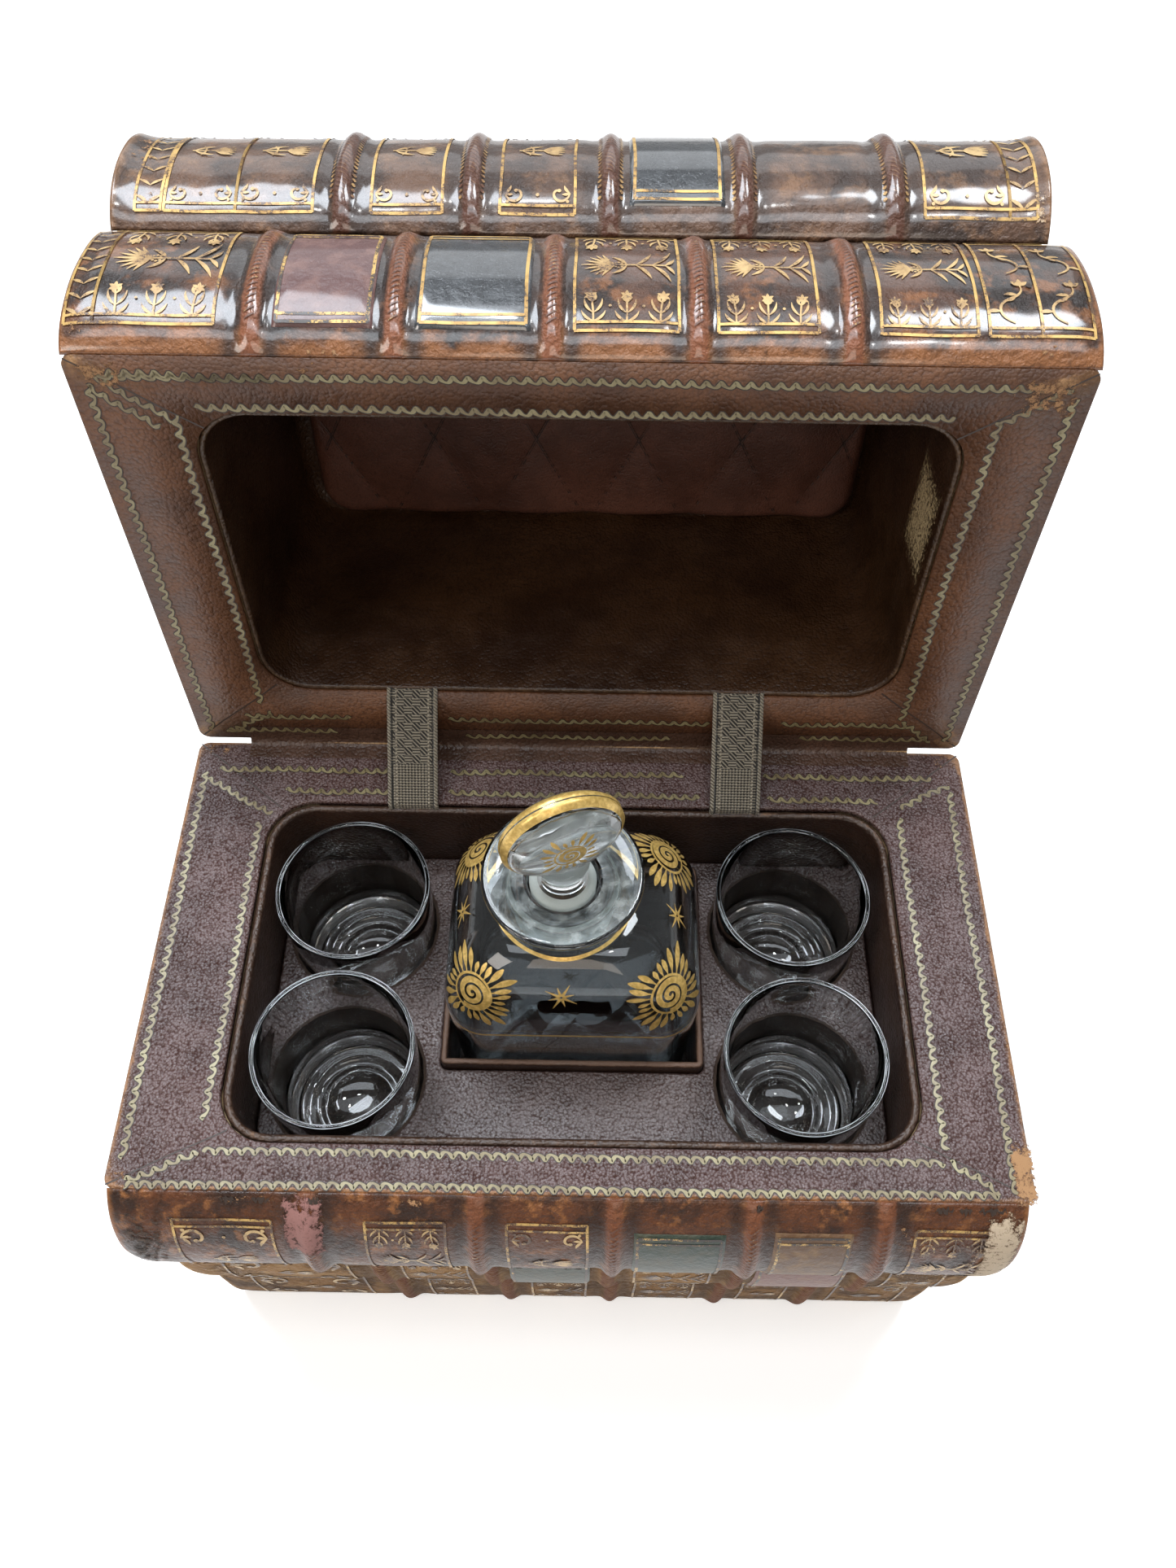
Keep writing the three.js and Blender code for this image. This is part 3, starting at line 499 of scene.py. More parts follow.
for (name, tint), (along_shares, (low, high), _, _) in label_places.items():
    book = books[name]
    start, end = book.along(*along_shares)
    x = np.linspace(start, end, label_points)[:, None]
    share = np.linspace(low, high, label_points)[None, :]
    to_side = book.thickness * np.minimum(share - low, high - share)
    to_edge = np.minimum(np.minimum(x - start, end - x), to_side)
    lift = label_lift * np.clip(to_edge / label_fade, 0, 1) ** 0.5 - label_edge
    grid_piece(f"{name}_{tint}_label", book.at(x, share, lift=lift), book.body, label_looks[tint],
               f"label_{tint}", stands_for=[f"{name}_label_{tint}"])

# Gilding: gold leaf pressed into the leather with hot brass tools, as double fillets, flower
# sprays and scrolls between the bands. Wear has taken some of it off again.
foil_lift = 0.09 * MM


def gold_leaf(name, gold, ground, wear, metal=0.35):
    finish = Finish(name, Coat_Weight=0.25, Coat_Roughness=0.2)
    scratches = finish.noise(700, 4, 0.7)
    loss = finish.noise(95, 4, 0.65)
    pits = finish.noise(2600, 2)
    kept = finish.ease(scratches * 0.5 + loss * 0.6 + pits * 0.3, wear, wear + 0.10)
    tone = finish.mix(finish.ease(loss, 0.4, 0.65), (gold[0] * 0.62, gold[1] * 0.55, gold[2] * 0.5), gold)
    finish.feed("Base Color", finish.mix(kept, ground, tone))
    finish.feed("Metallic", metal * kept)
    finish.feed("Roughness", 0.34 + 0.25 * scratches)
    finish.bump(scratches + kept * 0.6, 0.14 * MM, 0.6)
    return finish


def stroke(middle, width, taper=0.0):
    """A brass tool's mark: a line of complex points, as wide as given and tapered at its ends"""
    middle = np.asarray(middle)
    way = np.linspace(0, 1, len(middle))
    swell = np.sin(np.pi * np.clip(way, 0.04, 0.96)) ** taper
    return middle, width * swell


def rule(start, end, width, step=1.5 * MM):
    """A fillet rolled by hand, so it wanders a little"""
    length = abs(end - start)
    way = np.linspace(0, 1, max(2, int(length / step)))
    wander = 0.12 * MM * np.sin(length * way / (5.3 * MM) + start.real * 900) * (length > 8 * MM)
    ahead = (end - start) / max(length, 1e-9)
    return stroke(start + (end - start) * way + 1j * wander * ahead, width)


def bent_line(foot, turns, length):
    """A line of even steps from its foot, each in a direction of its own"""
    steps = np.exp(1j * turns) * length / (len(turns) - 1)
    return foot + np.concatenate([[0], np.cumsum(steps[:-1])])


def leaf(foot, turn, length, width, bend=0.0):
    return stroke(bent_line(foot, turn + bend * np.linspace(0, 1, 7), length), width, 0.9)


def dot(place, size):
    return stroke(place + size * np.linspace(-0.5, 0.5, 7), size, 0.6)


def sprig(foot, turn, size, lean=0.0):
    """A stem with three pairs of curled leaves and a flower of six petals"""
    stem = bent_line(foot, turn + lean * np.linspace(0, 1, 8), 0.62 * size)
    marks = [stroke(stem, 0.045 * size)]
    for number, spread, length in ((0, 1.3, 0.36), (2, 0.95, 0.42), (5, 0.8, 0.24)):
        for side in (-1, 1):
            marks.append(leaf(stem[number], turn + side * spread, length * size, 0.062 * size, -side * 1.1))
    for petal in range(6):
        marks.append(leaf(stem[-1], turn + petal * math.tau / 6, 0.15 * size, 0.075 * size))
    marks.append(dot(stem[-1], 0.08 * size))
    return marks


def spray(middle, turn, size):
    """A large flower lying along the volume: a fan of petals, a berry and forked leaves"""
    way = np.exp(1j * turn)
    marks = [rule(middle - 0.48 * size * way, middle + 0.18 * size * way, 0.03 * size, 0.1 * size)]
    for number in range(-4, 5):
        foot = middle + 0.14 * size * way
        length = (0.42 - 0.035 * abs(number)) * size
        marks.append(leaf(foot, turn + 0.2 * number, length, 0.045 * size, 0.1 * number))
    for turned in np.linspace(0, math.tau, 9)[:-1]:
        marks.append(dot(middle + 0.1 * size * way + 0.055 * size * np.exp(1j * turned), 0.035 * size))
    for side in (-1, 1):
        marks.append(leaf(middle, turn + side * 1.15, 0.26 * size, 0.05 * size, -side * 0.9))
        for rise_share, length in ((-0.1, 0.34), (-0.3, 0.40), (-0.46, 0.2)):
            foot = middle + rise_share * size * way
            marks.append(leaf(foot, turn + side * 2.45, length * size, 0.05 * size, -side * 0.6))
    return marks


def tulip(middle, turn, size):
    """A tulip with a cup of five petals, on a short stem with a leaf on each side"""
    way = np.exp(1j * turn)
    marks = [rule(middle - 0.5 * size * way, middle, 0.05 * size, 0.1 * size)]
    for number in range(-2, 3):
        marks.append(leaf(middle, turn + 0.36 * number, 0.46 * size, 0.11 * size, -0.36 * number))
    low, high = middle - 0.45 * size * way, middle - 0.2 * size * way
    for side in (-1, 1):
        marks.append(leaf(low, turn + side * 0.75, 0.5 * size, 0.08 * size, -side * 0.8))
        marks.append(leaf(high, turn + side * 1.6, 0.24 * size, 0.06 * size, side * 0.8))
    return marks


def curl(foot, turn, size, side):
    """A corner scroll that winds inward, with a leaf at its outer end and dots beside it"""
    winding = np.linspace(0, 4.6, 26)
    reach = 0.34 * size * (1 - winding / 6.2)
    centre = foot + 0.5 * size * np.exp(1j * turn)
    line = centre + reach * np.exp(1j * (turn + math.pi * 0.75 * side + side * winding))
    marks = [stroke(line, 0.085 * size, 0.25), dot(line[-1], 0.13 * size)]
    marks.append(leaf(line[0], turn - side * 0.2, 0.34 * size, 0.1 * size, side * 0.9))
    marks.append(leaf(line[0], turn - side * 1.2, 0.26 * size, 0.1 * size, side * 0.6))
    marks.append(dot(foot + 0.12 * size * np.exp(1j * turn), 0.1 * size))
    return marks


def scroll(foot, turn, size, side):
    """A stem that winds up to a bud"""
    line = bent_line(foot, turn + side * 1.1 * np.cos(np.linspace(0, 1, 18) * 5.2), size)
    marks = [stroke(line, 0.045 * size, 0.3)]
    for place, spread in ((5, 1.3), (9, -1.3), (13, 1.2)):
        marks.append(leaf(line[place], turn + side * spread, 0.22 * size, 0.07 * size, side * 0.8))
    marks.extend(leaf(line[-1], turn + petal, 0.16 * size, 0.08 * size) for petal in (-0.9, 0, 0.9))
    return marks


def foil(name, marks, surface, body, finish):
    """Ribbons of leaf laid on a surface, which turns complex places and a lift into points"""
    points, faces, total = [], [], 0
    for middle, width in marks:
        ahead = np.gradient(middle)
        side = 1j * ahead / np.maximum(np.abs(ahead), 1e-9) * width / 2
        rows = np.stack([middle - side, middle, middle + side], 1)
        points.append(surface(rows.real, rows.imag).reshape(-1, 3))
        faces.extend(tuple(total + index for index in face) for face in grid_faces(*rows.shape))
        total += rows.size
    return mesh_piece(name, np.concatenate(points), faces, body, finish)


def on_back(book, extra=0):
    """Places on a volume's back: x along, and height above its underside"""
    def surface(x, height):
        return book.at(x, book.share_at(height), lift=foil_lift + extra)
    return surface


def panel_marks(left, right, low, high, kind, line=0.9 * MM):
    """One panel between two bands: the fillets that close it, and its flowers"""
    width, height = right - left, high - low
    corner = complex(left, low)
    fillets = [rule(complex(x, low), complex(x, high), line) for x in (left, right)]
    for y in (low, low + 2.3 * MM, high, high - 2.3 * MM):
        fillets.append(rule(complex(left, y), complex(right, y), line * 0.85))
    marks = []
    sides = ((low + 2.6 * MM, 1), (high - 2.6 * MM, -1))
    if kind == "flowers":
        size = min(0.45 * width, 0.31 * height)
        for y, way in sides:
            for share, lean in ((0.18, 0.25), (0.5, 0), (0.82, -0.25)):
                marks += sprig(complex(left + share * width, y), way * math.pi / 2, size, way * lean)
            for share in (0.34, 0.66):
                marks.append(dot(complex(left + share * width, y + way * 0.35 * size), 0.9 * MM))
        marks += spray(corner + complex(0.5 * width, 0.53 * height), math.pi, min(0.8 * width, 0.6 * height))
    if kind == "tulips":
        size = 0.42 * width
        marks += tulip(corner + complex(0.55 * width, 0.5 * height), 0, min(0.66 * width, 0.36 * height))
        for y, way in sides:
            marks += curl(complex(left + 0.06 * width, y), way * 0.8, size, way)
            marks += curl(complex(right - 0.06 * width, y), math.pi - way * 0.8, size, -way)
            marks.append(dot(complex(left + 0.5 * width, y + way * 0.3 * size), 1.1 * MM))
    if kind == "leaves":
        for share in np.linspace(0.04, 0.96, 9):
            foot = complex(left + 0.5 * width, low + share * height)
            marks += [leaf(foot, math.pi / 2 + side * 0.8, 0.62 * width, 0.13 * width, side * 0.5)
                      for side in (-1, 1)]
    if kind == "scrolls":
        for share in (0.25, 0.75):
            for y, side in ((0.08, 1), (0.5, -1)):
                marks += scroll(corner + complex(share * width, y * height), math.pi / 2, 0.4 * height, side)
        fillets.append(rule(complex(left + width / 2, low), complex(left + width / 2, high), line))
    return fillets, marks


# each row: how far up its panels start and end, how worn its gold is, and where each panel lies
gilding = {
    "lid_lower": ((0.115, 0.93), 0.60, [
        (-147.3, -139, "leaves"), (-139, -104.5, "flowers"), (-2, 28, "flowers"), (39, 67.5, "flowers"),
        (85.5, 113, "flowers"), (116, 146, "scrolls"),
    ]),
    "lid_upper": ((0.07, 0.92), 0.60, [
        (-139, -131, "leaves"), (-130, -108, "tulips"), (-108, -84, "tulips"), (-66, -44, "tulips"),
        (-26, -3, "tulips"), (105, 131, "tulips"), (131, 139.5, "leaves"),
    ]),
    "base_top": ((0.12, 0.88), 0.67, [
        (-128, -96, "tulips"), (-66, -40, "flowers"), (-20, 6, "tulips"), (112, 138, "flowers"),
    ]),
    "base_middle": ((0.16, 0.84), 0.69, [
        (-128, -82, "tulips"), (-62, -38, "flowers"), (24, 52, "flowers"), (118, 138, "tulips"),
    ]),
    "base_bottom": ((0.16, 0.84), 0.69, [
        (-130, -84, "tulips"), (-58, -40, "flowers"), (-16, 6, "flowers"), (26, 50, "flowers"),
        (70, 88, "tulips"), (108, 136, "tulips"),
    ]),
}
gold_colour = (0.62, 0.40, 0.13)
faded_gold = (0.60, 0.41, 0.18)
for name, (height_shares, wear, panels) in gilding.items():
    book = books[name]
    low, high = (share * book.thickness for share in height_shares)
    fillets, flowers = [], []
    for left, right, kind in panels:
        lines, marks = panel_marks(left * MM, right * MM, low, high, kind)
        fillets += lines
        flowers += marks
    leafed = gold_leaf(f"{name}_fillet_gold", gold_colour, (0.08, 0.038, 0.020), wear)
    foil(f"{name}_fillets", fillets, on_back(book), book.body, leafed)
    faded = gold_leaf(f"{name}_flower_gold", faded_gold, (0.08, 0.038, 0.020), wear - 0.03, 0.15)
    foil(f"{name}_flowers", flowers, on_back(book, -0.02 * MM), book.body, faded)

# the labels' own fillets, volume by volume in the same order
label_rows = sorted(label_places.items(), key=lambda row: list(gilding).index(row[0][0]))
for (name, tint), (along_shares, curve_shares, (margin, second), wear) in label_rows:
    book = books[name]
    shares = np.linspace(0, 1, curve_points)
    heights = np.interp(curve_shares, book.share_at(shares * book.thickness), shares) * book.thickness
    (left, right), (low, high) = book.along(*along_shares), heights
    left, right, low, high = left + margin * MM, right - margin * MM, low + margin * MM, high - margin * MM
    marks = [rule(complex(x, low), complex(x, high), 1.0 * MM) for x in (left, right)]
    for y in (low, low + second * MM, high, high - second * MM):
        marks.append(rule(complex(left, y), complex(right, y), 0.85 * MM))
    leafed = gold_leaf(f"{name}_{tint}_gold", gold_colour, (0.03, 0.02, 0.016), wear)
    foil(f"{name}_{tint}_fillets", marks, on_back(book, label_lift - 0.1 * MM), book.body, leafed)

# the topmost volume's bands carry two rows of beads; those of the lid's lower volume and of the base's top
# volume carry a roll of slanting strokes
for name, wear in (("lid_upper", 0.64), ("lid_lower", 0.74), ("base_top", 0.76)):
    book = books[name]
    marks = []
    for band in book.bands:
        for height in np.arange(0.14, 0.90, 1.9 * MM / book.thickness) * book.thickness:
            if name == "lid_upper":
                marks += [dot(complex(band + side * 3.4 * MM, height), 1.15 * MM) for side in (-1, 1)]
            else:
                slant = complex(1.5, 0.8) * MM
                marks.append(stroke(complex(band, height) + slant * np.linspace(-1, 1, 7), 0.5 * MM, 0.4))
    foil(f"{name}_band_tooling", marks, on_back(book), book.body,
         gold_leaf(f"{name}_band_gold", (0.50, 0.31, 0.13), (0.12, 0.05, 0.03), wear))

# Rims: frames of board covered in goatskin of a fine pebbled grain, mitred at the corners. The
# base's rim has caught the most light and dust: the grey speckles on its pebbles' tops are partly
# dust and partly painted sheen. The lid's corners are scuffed to tan.
rim_edge = 0.9 * MM
rim_corner = 4 * MM
worn_corner = 0.75
worn_reach = 11 * MM
side_points = 60
corner_points = 9
# grey for the pebbles' tops, partly dust and partly painted sheen
grey_dust_and_sheen = (0.31, 0.275, 0.285)


def goatskin(name, dark, light, edge_tan, grain=820, gloss=0.30, depth=0.2, dust_and_sheen=0.0):
    """Pebbled goatskin. A mark called rub tells how much a place has been worn"""
    finish = Finish(name, Specular_IOR_Level=0.5)
    pebbles = finish.cells(grain)
    fine = finish.noise(grain * 2.6, 3, 0.6)
    clouds = finish.noise(24, 4)
    smudges = finish.noise(75, 4, 0.6)
    creases = finish.noise(190, 5, 0.7)
    rub = finish.mark("rub")
    scuffs = finish.ease(rub + 0.9 * finish.noise(150, 5, 0.75), 1.06, 1.25)
    finish.feed("Base Color", finish.laid(
        dark,
        (finish.ease(clouds * 0.6 + smudges * 0.4, 0.34, 0.64), light),
        (finish.ease(pebbles, 0.42, 0.8) * 0.55, dark),
        # grey speckles on the pebbles' tops: partly dust, partly painted sheen
        (finish.ease(fine + smudges * 0.6 - pebbles * 0.7, 0.2, 0.8) * dust_and_sheen, grey_dust_and_sheen),
        (finish.ease(rub + 0.5 * creases, 0.6, 1.3) * 0.5, edge_tan),
        (scuffs * 0.85, edge_tan),
    ))
    finish.feed("Roughness", gloss + 0.28 * finish.ease(smudges, 0.4, 0.7) * fine + 0.25 * scuffs)
    finish.bump(1 - pebbles * pebbles * 1.5 + fine * 0.4 + creases * 3.2, depth * MM, 0.9)
    return finish


def rounded(left, right, front, back, radius):
    """A rounded rectangle as a ring of [x, y] points that matches every other such ring"""
    ring = []
    corners = [(right - radius, front + radius, -1), (right - radius, back - radius, 0),
               (left + radius, back - radius, 1), (left + radius, front + radius, 2)]
    for number, (x, y, quarter) in enumerate(corners):
        turns = (quarter + np.linspace(0, 1, corner_points)) * math.pi / 2
        arc = np.stack([x + radius * np.cos(turns), y + radius * np.sin(turns)], 1)
        nx, ny, nq = corners[(number + 1) % 4]
        start = np.array([nx + radius * math.cos(nq * math.pi / 2), ny + radius * math.sin(nq * math.pi / 2)])
        share = np.linspace(0, 1, side_points + 2)[1:-1, None]
        ring.append(np.concatenate([arc, arc[-1] + (start - arc[-1]) * share]))
    return np.concatenate(ring)


def grown(box, amount):
    left, right, front, back, radius = box
    return left - amount, right + amount, front - amount, back + amount, max(radius + amount, 0.2 * MM)


def rolled_edge(plan, radius, turns, height, way=-1, draw=-1):
    """Levels round an edge at a height, which draws the plan in and then sinks by its radius"""
    levels = []
    for turn in turns:
        ring = rounded(*grown(plan, draw * radius * (1 - math.cos(turn))))
        levels.append((ring, height + way * radius * (1 - math.sin(turn))))
    return levels


def ring_piece(name, levels, place, body, finish, stands_for, marks=None, closed=True):
    """Rings of points, each a level of (points, height), joined by a skin"""
    rings = np.stack([np.column_stack([ring, np.full(len(ring), height)]) for ring, height in levels])
    points = moved(rings, place)
    faces = grid_faces(*points.shape[:2], round_rows=closed, round_columns=True)
    return facing_out(mesh_piece(name, points, faces, body, finish, marks, stands_for))


def plan_of(node, place, radius):
    low, high = closed_box(node, place)
    return (low[0], high[0], low[1], high[1], radius), low[2], high[2]


def rim_piece(name, well, place, body, finish):
    outline, bottom, top = plan_of(name, place, rim_corner)
    turns = np.linspace(0, math.pi / 2, 5)
    levels = [(rounded(*outline), bottom), *rolled_edge(outline, rim_edge, turns, top)]
    rubs = [0.4] + [0.75] * len(turns)
    flat_outer, flat_inner = rounded(*grown(outline, -rim_edge)), rounded(*grown(well, rim_edge))
    for share in np.linspace(0, 1, 15)[1:]:
        levels.append((flat_outer + (flat_inner - flat_outer) * share, top))
        rubs.append(0.5 * max(0, 1 - share / 0.14) + 0.25 * max(0, 1 - (1 - share) / 0.08))
    levels += rolled_edge(well, rim_edge, turns[-2::-1], top, draw=1)
    levels.append((rounded(*well), bottom))
    rubs += [0.45] * (len(turns) - 1) + [0.2]
    ways = np.stack([ring for ring, _ in levels])
    left, right, front, back, _ = outline
    to_corner = np.hypot(np.minimum(ways[..., 0] - left, right - ways[..., 0]),
                         np.minimum(ways[..., 1] - front, back - ways[..., 1]))
    rub = np.maximum(np.array(rubs)[:, None], worn_corner * np.exp(-((to_corner / worn_reach) ** 2)))
    ring_piece(f"{name}_leather", levels, place, body, finish, [name], {"rub": rub})
    return top


base_place = Matrix.Identity(4)
lining_gap = 0.3 * MM
well_corner = 18 * MM
base_lining_plan, _, base_lining_top = plan_of("base_lining", base_place, well_corner - lining_gap)
base_well = grown(base_lining_plan, lining_gap)
lid_lining_plan, lid_mouth, lid_ceiling = plan_of("lid_lining", open_lid, well_corner - lining_gap)
lid_well = grown(lid_lining_plan, lining_gap)
base_goat = goatskin("base_goatskin", (0.042, 0.017, 0.014), (0.098, 0.046, 0.040), (0.33, 0.17, 0.08),
                     grain=1100, gloss=0.13, depth=0.3, dust_and_sheen=0.3)
lid_goat = goatskin("lid_goatskin", (0.062, 0.023, 0.009), (0.155, 0.062, 0.025), (0.36, 0.20, 0.09),
                    gloss=0.44)
rim_top = rim_piece("base_rim", base_well, base_place, "base", base_goat)
rim_piece("lid_rim", lid_well, open_lid, "lid", lid_goat)
lid_face = closed_box("lid_rim", open_lid)[0][2]

# Wavy tooling: a roll with a waved line, run along both rims and across their mitres in pale
# gold that has gone greenish, and that is missing here and there.
wave_length = 4.3 * MM
wave_height = 1.0 * MM
wave_width = 1.2 * MM
outline_width = 0.75 * MM
mitre_width = 0.55 * MM
hollow_lift, patch_lift = 0.05 * MM, 0.12 * MM
hinge_strip_lift, hinge_strip_reach = 0.13 * MM, 9.5 * MM


def waved(start, end, seed=0):
    count = int(abs(end - start) / wave_length * 12)
    way = np.linspace(0, 1, count)
    turn = way * abs(end - start) / wave_length * math.tau
    ahead = (end - start) / abs(end - start)
    lean = 0.55 * wave_height * np.cos(turn + 0.6)
    swing = wave_height * np.sin(turn) + 0.3 * MM * np.sin(way * 9 + seed)
    middle = start + (end - start) * way + ahead * (lean + 1j * swing)
    width = wave_width * (0.85 + 0.3 * np.cos(2 * turn + 0.8))
    return middle, width


wave_gold = gold_leaf("pale_tooling", (0.30, 0.26, 0.135), (0.10, 0.07, 0.045), 0.50, metal=0.1)


def two_tone(name, scale, dark, light, detail=3, **fixed):
    """A finish that wanders between two colours"""
    finish = Finish(name, **fixed)
    finish.feed("Base Color", finish.mix(finish.noise(scale, detail), dark, light))
    return finish


# the dark of the tooled impressions and mitres; the same dark paints the shade in cracks and a wormhole
tooling_dark_and_gap_shade = two_tone("tooled_dark_and_painted_gap_shade", 400, (0.014, 0.008, 0.006), (0.05, 0.028, 0.018), Roughness=0.5)
tooling_dark_and_gap_shade.bump(tooling_dark_and_gap_shade.noise(900, 2), 0.1 * MM)


def tool_rim(name, runs, mitres, surface, body):
    """The waved roll with its dark outline, and the mitres' seams"""
    waves = [waved(complex(a, b) * MM, complex(c, d) * MM, seed) for seed, (a, b, c, d) in enumerate(runs)]
    outlines = [(middle, width + outline_width) for middle, width in waves]
    seams = [rule(complex(a, b) * MM, complex(c, d) * MM, mitre_width) for a, b, c, d in mitres]
    foil(f"{name}_outlines", outlines + seams, lambda x, y: surface(x, y, hollow_lift), body, tooling_dark_and_gap_shade)
    foil(f"{name}_tooling", waves, lambda x, y: surface(x, y, foil_lift), body, wave_gold)


def on_base_rim(x, y, lift):
    return np.stack([x, y, np.full_like(x, rim_top + lift)], -1)


def on_lid_rim(x, s, lift):
    over_hinge = hinge_strip_lift * (s < hinge_strip_reach)
    return moved(np.stack([x, -s, lid_face - lift - over_hinge + 0 * x], -1), open_lid)


base_runs = [
    (-145.4, -77, -145, 72), (-121, -64, -121, 50), (143.6, 68, 143.8, -83), (123, 56, 123, -70),
    (-140, 73.7, -72, 73.7), (-50, 73.7, 40, 73.7), (72, 73.7, 137, 73.7),
    (-113, 64, -73, 64), (-50, 64, 47, 64), (73, 63.4, 115, 63.4),
    (122, -74.4, -119, -74.0), (138, -84.4, -143, -84.7),
    (-143.8, 69, -117, 53.6), (143.9, 71, 124, 60.5), (-143, -84, -121, -74.3), (123.5, -73.5, 138, -82.6),
]
base_mitres = [(-149, 85, -113, 56), (149, 85, 113, 56), (-149, -85, -113, -67), (149, -85, 113, -67)]
tool_rim("base_rim", base_runs, base_mitres, on_base_rim, "base")
lid_runs = [
    (-143.5, 6, -143.5, 160), (-121, 22, -121, 150), (143.4, 6, 143.4, 160), (123.6, 18, 123.6, 152),
    (-141, 163.6, 134, 163.6), (-141, 164.6, -90, 163), (-114, 153.2, 110, 153.2),
    (-129, 14.6, -88, 14.6), (-50.5, 14.2, 50.5, 14.2), (78, 14.6, 126, 14.6),
    (-137, 6.8, -95, 6.8), (-44.5, 5.0, 35.6, 5.0), (86, 6.6, 136, 6.6),
    (-142, 164, -122, 149), (-144, 160, -126, 146), (142, 164, 125, 151), (-138, 5, -118, 17),
    (124, 17, 137, 6),
]
lid_mitres = [(-148, 169, -113, 146), (148, 169, 113, 146), (-148, 3, -113, 33), (148, 3, 113, 33)]
tool_rim("lid_rim", lid_runs, lid_mitres, on_lid_rim, "lid")


# Wear: places where the leather's face has flaked or been torn off, down to its tan inside and,
# at the worst corners, to pale board and paper.


def bare_patch(name, u, v, surface, body, colour, dark, cover, scale=330):
    """A place where the leather's face has gone: a thin sheet with ragged holes in it"""
    ways = np.linspace(-1, 1, 22)
    across, along = np.meshgrid(ways, ways, indexing="ij")
    fade = 1 - np.clip(np.maximum(np.abs(across), np.abs(along)) ** 3, 0, 1)
    points = surface((u[0] + u[1]) / 2 + across * (u[1] - u[0]) / 2,
                     (v[0] + v[1]) / 2 + along * (v[1] - v[0]) / 2)
    finish = Finish(name + "_leather", Roughness=0.75)
    grain = finish.noise(scale, 6, 0.8)
    height = grain + 0.30 * finish.mark("fade")
    bare = finish.noise(scale * 3, 4, 0.7) * 0.4 + height
    edge = 0.80 + (0.5 - cover) * 0.5
    finish.feed("Base Color", finish.mix(finish.ease(bare, edge + 0.18, edge + 0.32), dark, colour))
    finish.feed("Alpha", finish.ease(height, edge, edge + 0.03))
    finish.bump(grain, 0.5 * MM)
    grid_piece(name, points, body, finish, marks={"fade": fade})


tan, dark_tan, cream = (0.40, 0.22, 0.10), (0.16, 0.075, 0.035), (0.62, 0.50, 0.36)
rim_wear = [
    ("lid_corner_wear_left", (-150, -130), (158, 170), 0.54),
    ("lid_corner_wear_right", (122, 149), (152, 170), 0.54),
    ("lid_corner_wear_low_left", (-149, -136), (1, 12), 0.40),
    ("lid_top_wear", (-100, -65), (164, 170), 0.40),
    ("lid_corner_wear_low_right", (138, 149), (1, 9), 0.40),
    ("base_corner_wear_right", (143, 151), (-88, -66), 0.80),
    ("base_side_wear_right", (146, 151), (-70, 30), 0.36),
    ("base_corner_wear_left", (-151, -140), (-87, -76), 0.42),
    ("base_back_wear_left", (-149, -132), (78, 87), 0.42),
    ("base_back_wear_right", (136, 150), (76, 87), 0.40),
    ("base_front_wear", (-120, -60), (-87, -84.8), 0.36),
]
for name, u, v, cover in rim_wear:
    body = name.split("_")[0]
    on_rim = on_lid_rim if body == "lid" else on_base_rim
    bare_patch(name, np.array(u) * MM, np.array(v) * MM, lambda x, y: on_rim(x, y, patch_lift), body,
               tan, dark_tan, cover)

# the ends and joints of the spines, where the calf is broken down to its board and paper
back_patch_lift, patch_inset = 0.14 * MM, 0.2 * MM
spine_wear = [
    ("lid_upper", (-146, -134), (0.35, 0.75), tan, dark_tan, 0.44),
    ("lid_upper", (-146, -128), (0.02, 0.3), tan, dark_tan, 0.32),
    ("lid_upper", (138, 143.4), (0.02, 0.3), cream, tan, 0.5),
    ("lid_lower", (-148.4, -138), (0.01, 0.25), tan, dark_tan, 0.40),
    ("lid_lower", (-90, -60), (0.0, 0.07), tan, dark_tan, 0.44),
    ("lid_lower", (120, 148.4), (0.0, 0.2), tan, dark_tan, 0.36),
    ("base_top", (134, 147.3), (0.05, 1.0), cream, (0.22, 0.14, 0.08), 0.86),
    ("base_top", (124, 147.2), (0.0, 1.0), cream, dark_tan, 0.44),
    ("base_top", (-148, -128), (0.25, 1.0), (0.10, 0.06, 0.04), (0.01, 0.008, 0.006), 0.50),
    ("base_top", (-93, -78.5), (0.60, 1.0), (0.34, 0.165, 0.145), (0.13, 0.055, 0.045), 0.82),
    ("base_top", (-64, -40), (0.90, 1.0), tan, dark_tan, 0.42),
    ("base_top", (100, 118), (0.55, 1.0), tan, dark_tan, 0.36),
    ("base_top", (-148, -60), (0.92, 1.0), tan, dark_tan, 0.36),
    ("base_middle", (-145, -110), (0.1, 0.95), cream, tan, 0.36),
    ("base_middle", (110, 148), (0.1, 0.95), cream, tan, 0.36),
    ("base_bottom", (-144, 146), (0.1, 0.95), tan, dark_tan, 0.26),
    ("base_middle", (-100, 110), (0.1, 0.95), (0.44, 0.30, 0.19), dark_tan, 0.26),
]
for number, (name, u, v, colour, dark, cover) in enumerate(spine_wear, 1):
    book = books[name]
    u = np.clip(np.array(u) * MM, book.left + patch_inset, book.right - patch_inset)
    bare_patch(f"spine_wear_{number}", u, v, lambda x, y: book.at(x, y, lift=back_patch_lift), book.body,
               colour, dark, cover)
